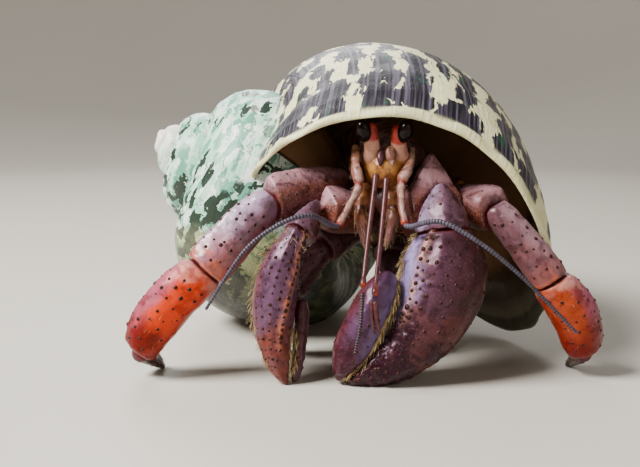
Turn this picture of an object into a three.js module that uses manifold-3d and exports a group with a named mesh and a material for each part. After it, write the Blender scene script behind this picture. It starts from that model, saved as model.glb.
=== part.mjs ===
// A land hermit crab in a turban shell, life size, as a still model in one piece.
// Millimetres, +Z up. The crab faces -Y and its own left side is towards +X.
// Every node is a closed solid; neighbours are parted by a thin cut of JOINT_GAP.

import * as THREE from 'three';
import Module from 'manifold-3d';

const wasm = await Module();
wasm.setup();
const { Manifold, Mesh } = wasm;

const TAU = 2 * Math.PI;
const V = (x, y, z) => new THREE.Vector3(x, y, z);

// ---- Driving dimensions -------------------------------------------------------------

const JOINT_GAP = 0.3; // cut between neighbouring solids
const SIDES = 8; // facets round a limb
const TUBE_SIDES = 6; // facets round a feeler
const FLAT_DEPTH = 0.2; // how far a resting surface is pressed flat on the floor
const PLACE = V(-5.5, -26.4, 0); // from the modelling origin to the middle of the footprint

// A right-handed shell coiled on a straight axis: each whorl is an ellipse that grows by
// `growth` every turn while it runs down the axis.
const SHELL = {
  apex: V(-27.0, 29.8, 31.9),
  axisYaw: -0.1,
  axisDip: 0.473,
  coilRadius: 18.2, // from the axis to the middle of the mouth
  growth: 2.117,
  drop: 2.194, // run along the axis, as a share of the coil radius
  halfWidth: 0.91, // the whorl's half sizes, as shares of the coil radius
  halfHeight: 1.239,
  tilt: 0.034,
  lipAngle: 1.476, // where the last whorl ends
  lipSkew: 0.058, // how the growth lines lean
  lipSlant: -0.555,
  turns: 4.4,
  chamberTurns: 0.72, // the part of the last whorl that is hollow
  wall: 1.3,
  lipWall: 0.55, // the wall thins towards the lip
  flare: 0.05, // the lip opens out by this share
  flareTurns: 0.07,
  baseSwell: 0.36, // how much fuller the base is where the whorl lies on the floor
  spireSwell: 0.07, // how much fuller the early whorls are
  columella: 0.13, // the pillar on the axis, as a share of the coil radius
};

// Cross-sections, as half width and half height along a limb from 0 to 1.
const MERUS = [[0, 0.5, 0.5], [0.15, 0.76, 0.78], [0.5, 0.94, 0.95], [0.85, 1, 1], [1, 0.84, 0.86]];
const CARPUS = [[0, 0.6, 0.62], [0.12, 0.78, 0.8], [0.45, 0.94, 0.94], [0.85, 1, 1], [1, 0.88, 0.88]];
const WRIST = [[0, 0.14, 0.3], [0.25, 0.5, 0.62], [0.6, 0.86, 0.92], [1, 1, 1]];
const PROPODUS = [[0, 0.74, 0.74], [0.12, 0.92, 0.92], [0.42, 1, 1], [0.75, 0.95, 0.94], [0.93, 0.8, 0.78], [1, 0.55, 0.55]];
const DACTYL = [[0, 0.62, 0.62], [0.14, 0.98, 0.96], [0.4, 0.9, 0.88], [0.75, 0.52, 0.52], [1, 0.24, 0.24]];

// ---- Solids -------------------------------------------------------------------------

/** Triangles of a closed skin over rings of points, with a fan at each end. */
function loft(rings) {
  const sides = rings[0].length;
  const points = rings.flat();
  const faces = [];
  for (let i = 0; i + 1 < rings.length; i += 1) {
    for (let j = 0; j < sides; j += 1) {
      const k = (j + 1) % sides;
      const a = i * sides + j;
      const b = i * sides + k;
      faces.push([a, b, b + sides], [a, b + sides, a + sides]);
    }
  }
  for (const [ring, turned] of [[0, true], [rings.length - 1, false]]) {
    const centre = points.length;
    const middle = V(0, 0, 0);
    rings[ring].forEach((p) => middle.addScaledVector(p, 1 / sides));
    points.push(middle);
    for (let j = 0; j < sides; j += 1) {
      const a = ring * sides + j;
      const b = ring * sides + ((j + 1) % sides);
      faces.push(turned ? [centre, b, a] : [centre, a, b]);
    }
  }
  return { points, faces };
}

/** A manifold solid from points and faces, turned outwards. */
function solid({ points, faces }) {
  let volume = 0;
  for (const [a, b, c] of faces) {
    volume += points[a].dot(points[b].clone().cross(points[c]));
  }
  const outward = volume > 0 ? faces : faces.map(([a, b, c]) => [a, c, b]);
  return new Manifold(
    new Mesh({
      numProp: 3,
      vertProperties: new Float32Array(points.flatMap((p) => [p.x, p.y, p.z])),
      triVerts: new Uint32Array(outward.flat()),
    })
  );
}

/** The largest piece of a solid, without the slivers that a cut can leave. */
function mainBody(body) {
  return body.decompose().reduce((best, piece) => (piece.volume() > best.volume() ? piece : best));
}

/** One ring of a limb: an ellipse round `centre`, drawn up into a keel on its upper side. */
function ring(centre, side, up, halfWidth, halfHeight, keel = 0, sides = SIDES) {
  return Array.from({ length: sides }, (_, j) => {
    const turn = (TAU * j) / sides;
    const round = Math.sin(turn);
    const ridged = round > 0 ? (1 - keel) * round + keel * (1 - Math.abs(Math.cos(turn))) : round;
    return centre
      .clone()
      .addScaledVector(side, halfWidth * Math.cos(turn))
      .addScaledVector(up, halfHeight * ridged);
  });
}

/** A value read off a table of [place, ...values] rows by straight lines between them. */
function readTable(table, place, column) {
  const last = table.findIndex((row) => row[0] >= place);
  if (last <= 0) {
    return table[Math.max(last, 0)][column];
  }
  const [a, b] = [table[last - 1], table[last]];
  return THREE.MathUtils.lerp(a[column], b[column], (place - a[0]) / (b[0] - a[0]));
}

/**
 * A limb segment from `from` to `to`: `section` gives its shape, `width` and `height` its
 * greatest half sizes, `up` the side its keel is on and `bow` how far it arches that way.
 */
function limb({ from, to, up, section, width, height, bow = 0, keel = 0, grow = 0, sides = SIDES }) {
  const along = to.clone().sub(from);
  const length = along.length();
  along.normalize();
  const side = along.clone().cross(up).normalize().negate();
  const rise = side.clone().cross(along).normalize().negate();
  const rings = section.map(([place, wide, high]) => {
    const reach = place + ((place * 2 - 1) * grow) / length;
    const centre = from.clone().addScaledVector(along, reach * length);
    centre.addScaledVector(rise, bow * Math.sin(Math.PI * place));
    return ring(centre, side, rise, width * wide + grow, height * high + grow, keel, sides);
  });
  return solid(loft(rings));
}

/** A claw or finger swept along a bent line, with half sizes from a table of [place, wide, high]. */
function finger({ path, up, table, keel = 0, grow = 0, steps = 10, sides = SIDES + 2 }) {
  const line = new THREE.QuadraticBezierCurve3(...path);
  const rings = [];
  for (let i = 0; i <= steps; i += 1) {
    const place = i / steps;
    const along = line.getTangentAt(place);
    const side = along.clone().cross(up).normalize().negate();
    const rise = side.clone().cross(along).normalize().negate();
    const centre = line.getPointAt(place).addScaledVector(along, grow * (2 * place - 1));
    const wide = readTable(table, place, 1) + grow;
    const high = readTable(table, place, 2) + grow;
    rings.push(ring(centre, side, rise, wide, high, keel, sides));
  }
  return solid(loft(rings));
}

/** A tapering round feeler through a few points. */
function feeler({ through, root, tip, steps = 14, grow = 0, sides = TUBE_SIDES }) {
  const line = new THREE.CatmullRomCurve3(through);
  const { normals, binormals } = line.computeFrenetFrames(steps, false);
  const rings = normals.map((normal, i) => {
    const radius = THREE.MathUtils.lerp(root, tip, i / steps) + grow;
    return ring(line.getPointAt(i / steps), normal, binormals[i], radius, radius, 0, sides);
  });
  return solid(loft(rings));
}

/** An ellipsoid whose long axis runs along `along`. */
function ellipsoid({ centre, along, half, up = V(0, 0, 1), rows = 7, sides = SIDES, grow = 0 }) {
  const axis = along.clone().normalize();
  const side = axis.clone().cross(up).normalize();
  const rise = side.clone().cross(axis).normalize();
  const rings = [];
  for (let i = 0; i <= rows; i += 1) {
    const turn = THREE.MathUtils.lerp(0.06, 0.94, i / rows) * Math.PI;
    const middle = centre.clone().addScaledVector(axis, -(half.x + grow) * Math.cos(turn));
    const swell = Math.sin(turn);
    rings.push(ring(middle, side, rise, (half.y + grow) * swell, (half.z + grow) * swell, 0, sides));
  }
  return solid(loft(rings));
}

/** The block of space from the floor down, with which resting surfaces are pressed flat. */
function underFloor() {
  const box = new THREE.BoxGeometry(200, 200, 20).translate(0, 0, -10);
  const place = box.getAttribute('position');
  const seen = new Map();
  const points = [];
  const same = [];
  for (let i = 0; i < place.count; i += 1) {
    const p = V().fromBufferAttribute(place, i);
    const key = p.toArray().join();
    if (!seen.has(key)) {
      seen.set(key, points.length);
      points.push(p);
    }
    same.push(seen.get(key));
  }
  const index = Array.from(box.getIndex().array, (i) => same[i]);
  const faces = [];
  for (let i = 0; i < index.length; i += 3) {
    faces.push(index.slice(i, i + 3));
  }
  return solid({ points, faces });
}

const FLOOR = underFloor();

// ---- The shell ----------------------------------------------------------------------

const axis = V(
  Math.cos(SHELL.axisDip) * Math.cos(SHELL.axisYaw),
  -Math.cos(SHELL.axisDip) * Math.sin(SHELL.axisYaw),
  -Math.sin(SHELL.axisDip)
);
const axisUp = V(0, 0, 1).addScaledVector(axis, -axis.z).normalize();
const axisSide = axis.clone().cross(axisUp);

/** The distance from the axis to the middle of the whorl at a coil angle. */
function coilSize(coil) {
  return SHELL.coilRadius * SHELL.growth ** ((coil - SHELL.lipAngle) / TAU);
}

/** The middle of the whorl at a coil angle. */
function coilCentre(coil) {
  return SHELL.apex
    .clone()
    .addScaledVector(axisUp, coilSize(coil) * Math.cos(coil))
    .addScaledVector(axisSide, coilSize(coil) * Math.sin(coil))
    .addScaledVector(axis, coilSize(coil) * SHELL.drop);
}

/** A point of the whorl's skin at a coil angle and an angle round its section. */
function whorlPoint(coil, turn, hollow) {
  const size = coilSize(coil);
  const turnsBack = (SHELL.lipAngle - coil) / TAU;
  const nearLip = 1 - THREE.MathUtils.smoothstep(turnsBack, 0, SHELL.flareTurns);
  const inset = hollow ? THREE.MathUtils.lerp(SHELL.wall, SHELL.lipWall, nearLip) / size : 0;
  const open = 1 + SHELL.flare * nearLip;
  const swell = Math.sin(turn) > 0 ? SHELL.baseSwell * THREE.MathUtils.smoothstep(turnsBack, 0.35, 0.68) : 0;
  const full = open + SHELL.spireSwell * THREE.MathUtils.smoothstep(turnsBack, 0.8, 1.2);
  const across = (SHELL.halfWidth * full - inset) * Math.cos(turn);
  const down = (SHELL.halfHeight * open * (1 + swell) - inset) * Math.sin(turn);
  const out = across * Math.cos(SHELL.tilt) - down * Math.sin(SHELL.tilt);
  const low = across * Math.sin(SHELL.tilt) + down * Math.cos(SHELL.tilt);
  const angle = coil + SHELL.lipSkew * low + SHELL.lipSlant * out;
  return SHELL.apex
    .clone()
    .addScaledVector(axisUp, size * (1 + out) * Math.cos(angle))
    .addScaledVector(axisSide, size * (1 + out) * Math.sin(angle))
    .addScaledVector(axis, size * (SHELL.drop + low));
}

/** A length of whorl between two coil angles, as a solid. */
function whorl(start, end, hollow, sides, stepsPerTurn) {
  const steps = Math.max(2, Math.round(((end - start) / TAU) * stepsPerTurn));
  const rings = [];
  for (let i = 0; i <= steps; i += 1) {
    const coil = THREE.MathUtils.lerp(start, end, i / steps);
    rings.push(Array.from({ length: sides }, (_, j) => whorlPoint(coil, (TAU * j) / sides, hollow)));
  }
  return solid(loft(rings));
}

/** The whole shell: joined whorls, a pillar on the axis, and the hollow last whorl. */
function buildShell() {
  const lap = 0.04; // each length of whorl runs a little into the next
  const lip = SHELL.lipAngle;
  const hollow = lip - SHELL.chamberTurns * TAU;
  const half = lip - 0.36 * TAU;
  const last = whorl(half, lip, false, 18, 18).add(whorl(hollow, half + lap, false, 18, 18));
  const chamber = whorl(half, lip + lap, true, 14, 17).add(whorl(hollow + 3 * lap, half + lap, true, 14, 17));
  let shell = last.subtract(chamber);
  let end = hollow + lap;
  const first = lip - SHELL.turns * TAU;
  while (end > first) {
    const start = Math.max(end - 0.45 * TAU, first);
    const sides = lip - end < 1.3 * TAU ? 18 : 12;
    shell = shell.add(whorl(Math.max(start - lap, first), end, false, sides, sides - 2));
    end = start;
  }
  const foot = SHELL.apex.clone().addScaledVector(axis, SHELL.coilRadius * SHELL.drop * 0.72);
  const pillar = limb({
    from: SHELL.apex.clone().addScaledVector(axis, 1.5),
    to: foot,
    up: axisUp,
    section: [[0, 0.1, 0.1], [1, 1, 1]],
    width: SHELL.coilRadius * SHELL.columella,
    height: SHELL.coilRadius * SHELL.columella,
  });
  return mainBody(shell.add(pillar).translate([0, 0, -FLAT_DEPTH]).subtract(FLOOR));
}

// ---- The crab -----------------------------------------------------------------------

// The walking legs: the joints from the body to the floor, the greatest half width and half
// height of each segment, the upper side of the limb and how far each segment arches to it.
const LEGS = {
  leg2_r: {
    joints: [V(4.6, 15.6, 24.4), V(-6.6, 7.2, 23.4), V(-15.1, 3.0, 14.6), V(-24.0, 2.8, 4.0), V(-21.6, 7.4, 0)],
    halves: [[2.3, 3.3], [2.5, 2.9], [2.5, 3.0], [1.5, 1.8]],
    up: V(-0.55, -0.3, 0.78),
    bows: [0.3, 0.35, 0.9, 0.5],
  },
  leg2_l: {
    joints: [V(17.4, 17.0, 22.0), V(23.3, 6.4, 22.4), V(30.4, 3.0, 13.1), V(35.5, 4.0, 3.5), V(34.5, 8.2, 0)],
    halves: [[2.6, 3.0], [2.1, 2.2], [2.4, 2.8], [1.4, 1.6]],
    up: V(0.6, -0.3, 0.74),
    bows: [0.2, 0.3, 0.8, 0.4],
  },
  leg3_r: {
    joints: [V(8.0, 20.0, 19.8), V(0.6, 13.0, 16.2), V(-4.3, 11.8, 10.2), V(-5.5, 12.6, 4.4), V(-5.2, 15.6, 0)],
    halves: [[2.0, 2.5], [1.8, 2.2], [1.6, 1.9], [1.1, 1.3]],
    up: V(-0.6, -0.6, 0.5),
    bows: [0.3, 0.3, 0.5, 0.4],
  },
  leg3_l: {
    joints: [V(13.8, 21.0, 19.4), V(9.9, 14.6, 14.6), V(12.2, 12.6, 8.8), V(13.9, 13.2, 4.2), V(13.6, 16.0, 0)],
    halves: [[2.1, 2.5], [1.8, 2.2], [1.6, 1.9], [1.1, 1.3]],
    up: V(0.6, -0.6, 0.5),
    bows: [0.2, 0.3, 0.5, 0.4],
  },
};
const LEG_PARTS = ['merus', 'carpus', 'propodus', 'dactyl'];
const LEG_SECTIONS = [MERUS, CARPUS, PROPODUS, DACTYL];
const LEG_KEELS = [0.35, 0.15, 0.1, 0];
const REACH = 0.35; // each segment runs this far past its joints, into the cut of the next

// The short fourth legs, which hold the shell from inside.
const HOLD_LEGS = {
  leg4_r: [V(8.6, 24.8, 24.6), V(5.6, 27.0, 25.8), V(4.6, 25.0, 28.0)],
  leg4_l: [V(14.6, 25.0, 24.2), V(19.4, 25.8, 23.8), V(21.8, 21.6, 24.6)],
};

// The claws. The left one is the larger.
const CLAWS = {
  claw_l: {
    merus: { from: V(13.6, 14.4, 20.6), to: V(15.8, 7.0, 24.6), up: V(0.02, 0.35, 0.94), width: 4.6, height: 5.2 },
    carpus: { from: V(16.2, 6.6, 25.6), to: V(16.2, 3.7, 18.9), up: V(0, -0.97, 0.25), width: 3.7, height: 3.3 },
    palm: {
      path: [V(16.3, 3.6, 20.3), V(17.6, 1.3, 4.3), V(3.2, 0.1, 0.5)],
      up: V(-0.25, -1, 0.35),
      table: [
        [0, 2.9, 2.7], [0.1, 4.7, 3.9], [0.2, 5.6, 4.7], [0.3, 5.6, 5.0], [0.42, 5.0, 4.8],
        [0.54, 4.4, 4.3], [0.66, 3.6, 3.6], [0.79, 2.8, 2.8], [0.9, 1.8, 1.9], [1, 0.6, 0.7],
      ],
      keel: 0.22,
    },
    dactyl: {
      path: [V(9.3, 2.0, 14.5), V(5.2, -0.2, 8.0), V(2.3, 0.5, 0.3)],
      up: V(-0.25, -1, 0.3),
      table: [
        [0, 0.9, 1.3], [0.12, 1.9, 2.2], [0.3, 2.5, 2.8], [0.5, 2.5, 2.7],
        [0.7, 2.4, 2.4], [0.86, 1.7, 1.8], [1, 0.6, 0.7],
      ],
      keel: 0.15,
    },
  },
  claw_r: {
    merus: { from: V(7.4, 13.4, 20.6), to: V(0.6, 7.8, 22.4), up: V(-0.2, 0.1, 0.93), width: 2.7, height: 3.1 },
    carpus: { from: V(-0.2, 7.2, 23.2), to: V(-2.8, 3.9, 19.2), up: V(-0.3, -0.85, 0.4), width: 2.3, height: 2.2 },
    palm: {
      path: [V(-2.8, 3.9, 20.2), V(-8.4, 1.0, 9.0), V(-4.5, 0.3, 0.15)],
      up: V(-0.1, -1, 0.2),
      table: [
        [0, 1.2, 1.6], [0.14, 2.0, 2.3], [0.3, 2.8, 2.8], [0.48, 3.0, 2.8],
        [0.62, 2.6, 2.4], [0.78, 1.9, 1.8], [0.9, 1.2, 1.2], [1, 0.5, 0.5],
      ],
      keel: 0.3,
    },
    dactyl: {
      path: [V(-2.6, 2.8, 10.8), V(-2.3, 1.6, 5.4), V(-3.5, 0.7, 0.15)],
      up: V(0.35, -1, 0.15),
      table: [
        [0, 0.7, 1.0], [0.15, 1.2, 1.6], [0.4, 1.25, 1.7], [0.7, 0.95, 1.3], [0.88, 0.7, 0.9], [1, 0.4, 0.45],
      ],
      keel: 0.1,
    },
  },
};

// The head, side by side: stalked eyes, two pairs of feelers and the mouth limbs.
const HEAD = {
  r: {
    stalk: [V(7.5, 9.1, 28.1), V(6.3, 7.3, 32.2)],
    eye: { centre: V(5.9, 6.7, 32.55), along: V(-0.25, -0.35, 1) },
    scale: { from: V(8.2, 7.6, 30.2), to: V(8.0, 6.5, 27.9) },
    antennule: [V(7.5, 6.6, 26.9), V(6.4, 2.4, 20.4), V(5.3, -2.4, 13.4)],
    antennuleTip: [V(5.25, -2.9, 12.8), V(5.0, -4.0, 9.2), V(4.3, -4.6, 5.6)],
    antenna: [V(4.9, 10.2, 30.6), V(4.8, 7.8, 28.0), V(5.1, 6.3, 25.2), V(3.8, 5.2, 22.8), V(2.4, 4.0, 20.3)],
    flagellum: [
      V(1.7, 3.4, 20.4), V(-1.3, 0.6, 22.1), V(-4.4, -0.2, 21.4),
      V(-8.9, -0.9, 18.4), V(-12.1, -1.3, 14.1), V(-14.4, -1.4, 10.4),
    ],
    maxilliped: [V(6.3, 9.6, 25.2), V(5.5, 6.8, 21.6), V(6.3, 5.4, 16.9)],
  },
  l: {
    stalk: [V(10.3, 9.1, 28.1), V(10.8, 7.3, 32.0)],
    eye: { centre: V(11.2, 6.7, 32.3), along: V(0.2, -0.35, 1) },
    scale: { from: V(9.3, 7.4, 30.6), to: V(9.6, 6.4, 28.0) },
    antennule: [V(8.9, 6.6, 26.4), V(7.9, 2.0, 19.6), V(6.7, -3.8, 12.7)],
    antennuleTip: [V(6.7, -4.3, 12.1), V(6.9, -4.9, 10.2), V(7.3, -5.2, 8.1)],
    antenna: [V(12.5, 10.2, 30.2), V(12.0, 7.8, 28.0), V(10.9, 6.2, 26.0), V(10.7, 4.6, 23.2), V(11.0, 2.6, 20.5)],
    flagellum: [
      V(11.6, 1.9, 20.5), V(14.9, -1.9, 21.6), V(19.8, -3.3, 19.0),
      V(24.8, -3.0, 15.0), V(28.8, -2.2, 11.1), V(32.5, -1.6, 7.4),
    ],
    maxilliped: [V(9.7, 9.6, 25.2), V(9.9, 7.0, 21.6), V(8.9, 5.8, 17.3)],
  },
};
const EYE_HALF = V(1.75, 1.15, 1.15);
const SCALE = { section: [[0, 0.8, 0.8], [0.5, 1, 1], [1, 0.25, 0.5]], width: 0.55, height: 0.35, sides: 6 };
const FACE = { centre: V(8.8, 9.9, 27.6), along: V(0.1, -1, -0.15), half: V(2.0, 2.9, 2.4) };

// The trunk: the hard shield on the back, and the chest under it that bears the legs.
const TRUNK = [[0, 0.5, 0.5], [0.08, 0.78, 0.8], [0.35, 1, 1], [0.75, 1, 1], [0.95, 0.86, 0.86], [1, 0.6, 0.6]];
const SHIELD = { from: V(8.6, 11.2, 29.3), to: V(13.0, 25.0, 27.2), width: 4.9, height: 3.1 };
const THORAX = { from: V(9.6, 11.8, 21.4), to: V(13.4, 25.0, 21.8), width: 4.8, height: 4.7 };

// Each shape below is a function of `grow`, so that a neighbour can be cut clear of it.

/** The four segments of a walking leg. */
function legShapes(name, { joints, halves, up, bows }) {
  return LEG_PARTS.map((part, i) => {
    const shape = {
      from: joints[i],
      to: joints[i + 1],
      up,
      section: LEG_SECTIONS[i],
      width: halves[i][0],
      height: halves[i][1],
      bow: bows[i],
      keel: LEG_KEELS[i],
    };
    const reach = i < 3 ? REACH : 0;
    const hue = i === 2 ? 'coral' : 'lilac';
    return [`${name}_${part}`, { hue, make: (grow) => limb({ ...shape, grow: grow + reach }) }];
  });
}

/** The merus, carpus, palm with its fixed finger, and movable finger of a claw. */
function clawShapes(name, { merus, carpus, palm, dactyl }) {
  const shapes = {
    merus: (grow) => limb({ ...merus, section: MERUS, keel: 0.6, grow }),
    carpus: (grow) => limb({ ...carpus, section: WRIST, keel: 0.3, grow }),
    palm: (grow) => finger({ ...palm, grow }),
    dactyl: (grow) => finger({ ...dactyl, steps: 8, grow }),
  };
  return Object.entries(shapes).map(([part, make]) => [`${name}_${part}`, { hue: 'lilac', make }]);
}

/** The eye, feelers and mouth limb of one side of the head. */
function headShapes(side, parts) {
  const tube = (through, root, tip, steps, sides) => (grow) => feeler({ through, root, tip, steps, sides, grow });
  return [
    [`eyestalk_${side}`, { hue: 'cream', make: tube(parts.stalk, 0.95, 1.1, 3, 8) }],
    [`cornea_${side}`, { hue: 'eye', make: (grow) => ellipsoid({ ...parts.eye, half: EYE_HALF, grow }) }],
    [`scale_${side}`, { hue: 'cream', make: (grow) => limb({ ...parts.scale, ...SCALE, up: V(0, -1, 0), grow }) }],
    [`antennule_${side}`, { hue: 'cream', make: tube(parts.antennule, 0.55, 0.42, 6) }],
    [`antennule_tip_${side}`, { hue: 'feeler', make: tube(parts.antennuleTip, 0.42, 0.27, 4) }],
    [`antenna_${side}`, { hue: 'cream', make: tube(parts.antenna, 0.95, 0.5, 8, 8) }],
    [`flagellum_${side}`, { hue: 'feeler', make: tube(parts.flagellum, 0.46, 0.27, 18) }],
    [`maxilliped_${side}`, { hue: 'amber', make: tube(parts.maxilliped, 1.2, 0.55, 5, 8) }],
  ];
}

/** The trunk, face and soft abdomen, which follows the chamber back round the pillar. */
function trunkShapes() {
  const chamber = [0.25, 0.36, 0.47, 0.56].map((turns) => coilCentre(SHELL.lipAngle - turns * TAU));
  const abdomen = [SHIELD.to.clone().add(V(0.2, 0.6, -0.6)), ...chamber];
  const trunk = { up: V(0, 0, 1), section: TRUNK, sides: 12 };
  const tube = { root: 4.4, tip: 1.8, steps: 9, sides: 10 };
  return [
    ['shield', { hue: 'lilac', make: (grow) => limb({ ...SHIELD, ...trunk, grow }) }],
    ['thorax', { hue: 'amber', make: (grow) => limb({ ...THORAX, ...trunk, grow }) }],
    ['face', { hue: 'amber', make: (grow) => ellipsoid({ ...FACE, grow }) }],
    ['abdomen', { hue: 'soft', make: (grow) => feeler({ through: abdomen, ...tube, grow }) }],
  ];
}

/** The short legs inside the shell. */
function holdLegShapes() {
  return Object.entries(HOLD_LEGS).map(([name, through]) => [
    name,
    { hue: 'amber', make: (grow) => feeler({ through, root: 1.3, tip: 0.9, steps: 5, sides: 8, grow }) },
  ]);
}

// The neighbours that each part is cut clear of.
const CLEAR_OF = {
  face: ['shield', 'eyestalk_r', 'eyestalk_l'],
  thorax: [
    'shield', 'face', 'claw_l_merus', 'claw_r_merus', 'leg2_l_merus', 'leg2_r_merus',
    'leg3_l_merus', 'leg3_r_merus', 'leg4_l', 'leg4_r',
  ],
  abdomen: ['shield', 'thorax', 'leg4_l', 'leg4_r'],
  eyestalk_r: ['cornea_r'],
  eyestalk_l: ['cornea_l'],
  maxilliped_l: ['claw_l_merus'],
};
for (const name of Object.keys(LEGS)) {
  LEG_PARTS.slice(0, 3).forEach((piece, i) => {
    CLEAR_OF[`${name}_${piece}`] = [`${name}_${LEG_PARTS[i + 1]}`];
  });
}
for (const name of Object.keys(CLAWS)) {
  CLEAR_OF[`${name}_merus`] = [`${name}_carpus`, `${name}_palm`];
  CLEAR_OF[`${name}_carpus`] = [`${name}_palm`];
  CLEAR_OF[`${name}_dactyl`] = [`${name}_palm`];
}
for (const side of ['r', 'l']) {
  CLEAR_OF[`leg2_${side}_merus`].push(`claw_${side}_merus`);
  CLEAR_OF[`leg3_${side}_merus`].push(`leg2_${side}_merus`, `claw_${side}_merus`);
}

// ---- Assembly -----------------------------------------------------------------------

const COLOURS = {
  shell: [0xc9cba6, 0.45],
  lilac: [0x8a6a80, 0.35],
  coral: [0xc4502e, 0.35],
  cream: [0xd9b39a, 0.4],
  amber: [0xb5713a, 0.45],
  eye: [0x1d120e, 0.08],
  feeler: [0x8b8590, 0.45],
  soft: [0xb98a78, 0.6],
};

/** A named mesh of a solid, with its own material. */
function part(name, body, colour) {
  const { vertProperties, triVerts, numProp } = body.getMesh();
  const places = new Float32Array((vertProperties.length / numProp) * 3);
  for (let i = 0; i < places.length / 3; i += 1) {
    for (let j = 0; j < 3; j += 1) {
      places[i * 3 + j] = vertProperties[i * numProp + j];
    }
  }
  const geometry = new THREE.BufferGeometry();
  geometry.setAttribute('position', new THREE.BufferAttribute(places, 3));
  geometry.setIndex(new THREE.BufferAttribute(Uint32Array.from(triVerts), 1));
  const flat = geometry.toNonIndexed();
  flat.computeVertexNormals();
  const [hue, roughness] = COLOURS[colour];
  const mesh = new THREE.Mesh(flat, new THREE.MeshStandardMaterial({ color: hue, roughness, metalness: 0 }));
  mesh.name = name;
  mesh.position.copy(PLACE);
  return mesh;
}

/** The whole crab as one group of named parts. */
function buildCrab() {
  const shapes = Object.fromEntries([
    ...trunkShapes(),
    ...Object.entries(LEGS).flatMap(([name, leg]) => legShapes(name, leg)),
    ...holdLegShapes(),
    ...Object.entries(CLAWS).flatMap(([name, claw]) => clawShapes(name, claw)),
    ...Object.entries(HEAD).flatMap(([side, parts]) => headShapes(side, parts)),
  ]);
  const crab = new THREE.Group();
  crab.name = 'hermit_crab';
  crab.add(part('shell', buildShell(), 'shell'));
  for (const [name, { hue, make }] of Object.entries(shapes)) {
    const near = CLEAR_OF[name] ?? [];
    const body = near.reduce((rest, other) => rest.subtract(shapes[other].make(JOINT_GAP)), make(0));
    crab.add(part(name, mainBody(body.subtract(FLOOR)), hue));
  }
  return crab;
}

export default buildCrab();
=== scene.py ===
"""Finished surfaces of a land hermit crab in a turban shell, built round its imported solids.

The crab faces -Y and its own left side is towards +X. Sizes in the classes below are
millimetres in the modelling frame of the solids; `to_row` turns them into metres in the
shared frame just before a mesh is made.
"""

import logging
import math
from dataclasses import dataclass, field, replace
from enum import Enum

import bpy
import numpy as np
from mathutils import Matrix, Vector, noise
from mathutils.bvhtree import BVHTree


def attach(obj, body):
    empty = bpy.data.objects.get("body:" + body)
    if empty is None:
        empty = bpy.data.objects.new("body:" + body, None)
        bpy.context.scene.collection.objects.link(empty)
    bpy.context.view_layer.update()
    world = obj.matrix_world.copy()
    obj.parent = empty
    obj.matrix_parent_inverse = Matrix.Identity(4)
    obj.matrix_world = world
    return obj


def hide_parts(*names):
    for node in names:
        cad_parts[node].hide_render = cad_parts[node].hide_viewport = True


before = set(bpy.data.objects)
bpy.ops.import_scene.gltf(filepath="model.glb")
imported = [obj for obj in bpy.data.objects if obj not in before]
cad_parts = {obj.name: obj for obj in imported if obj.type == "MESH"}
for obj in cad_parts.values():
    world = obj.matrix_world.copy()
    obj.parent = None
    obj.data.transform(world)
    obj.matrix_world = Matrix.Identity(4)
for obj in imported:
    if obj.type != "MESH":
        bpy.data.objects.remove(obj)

LOG = logging.getLogger("hermit_crab")
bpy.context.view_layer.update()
MM = 0.001
TAU = 2 * math.pi
PLACE = np.array([-5.5, -26.4, 0.0])
Array = np.ndarray
Point = tuple[float, float, float]
Colour = tuple[float, float, float]
Ends = tuple[float, float, float, float]
Table = list[tuple[float, ...]]


class Slot(Enum):
    """The record's material slots."""

    SHELL = "shell"
    CRUST = "lilac_crust"
    CORAL = "leg_coral"
    HEAD = "head_cream"
    MOUTH = "mouth_amber"
    EYE = "eye"
    FEELER = "feeler"
    SKIN = "soft_skin"


class Axis(Enum):
    """The direction on a limb that a wash of colour follows."""

    ALONG = 0
    SIDE = 1
    UP = 2


# ---- Small helpers --------------------------------------------------------------------


def to_row(points: Array) -> Array:
    """Turn modelling millimetres into metres in the shared frame.

    Args:
        points: Places in modelling millimetres, with three columns.

    Returns:
        The same places in metres, in the shared frame.
    """
    return (np.asarray(points, float) + PLACE) * MM


def unit(vectors: Array) -> Array:
    """Scale vectors to length one.

    Args:
        vectors: Vectors along the last axis.

    Returns:
        The unit vectors.
    """
    vectors = np.asarray(vectors, float)
    length = np.linalg.norm(vectors, axis=-1, keepdims=True)
    return vectors / np.maximum(length, 1e-12)


def smooth(value: Array, low: float, high: float) -> Array:
    """Rise smoothly from 0 at `low` to 1 at `high`.

    Args:
        value: The numbers to read.
        low: Where the rise starts.
        high: Where the rise ends.

    Returns:
        The risen share at each number.
    """
    share = np.clip((np.asarray(value, float) - low) / (high - low), 0, 1)
    return share * share * (3 - 2 * share)


def hue(code: str) -> Colour:
    """Read a six-digit colour code as linear light.

    Args:
        code: Two hexadecimal digits each of red, green and blue.

    Returns:
        The linear red, green and blue.
    """
    parts = [int(code[i : i + 2], 16) / 255 for i in (0, 2, 4)]
    return tuple(p / 12.92 if p <= 0.04045 else ((p + 0.055) / 1.055) ** 2.4 for p in parts)


def rumple(points: Array, size: float, octaves: int = 3, seed: float = 0.0) -> Array:
    """Uneven heights that vary smoothly over space.

    Args:
        points: Places in millimetres.
        size: Width in millimetres of the broadest unevenness.
        octaves: How many finer layers are added.
        seed: Shifts the pattern.

    Returns:
        A height from about -1 to 1 for each place.
    """
    flat = np.asarray(points, float).reshape(-1, 3) / size + seed
    heights = [noise.fractal(Vector(p), 0.9, 2.0, octaves) for p in flat]
    return np.array(heights).reshape(np.asarray(points).shape[:-1])


def bell(value: Array, middle: float, width: float) -> Array:
    """A rounded bump, 1 high, round a middle value."""
    return np.exp(-(((value - middle) / width) ** 2))


def plateau(value: Array, foot: float, top: float, edge: float, end: float) -> Array:
    """Rise smoothly from 0 to 1 between two values, and fall again between two more."""
    return smooth(value, foot, top) * (1 - smooth(value, edge, end))


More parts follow.
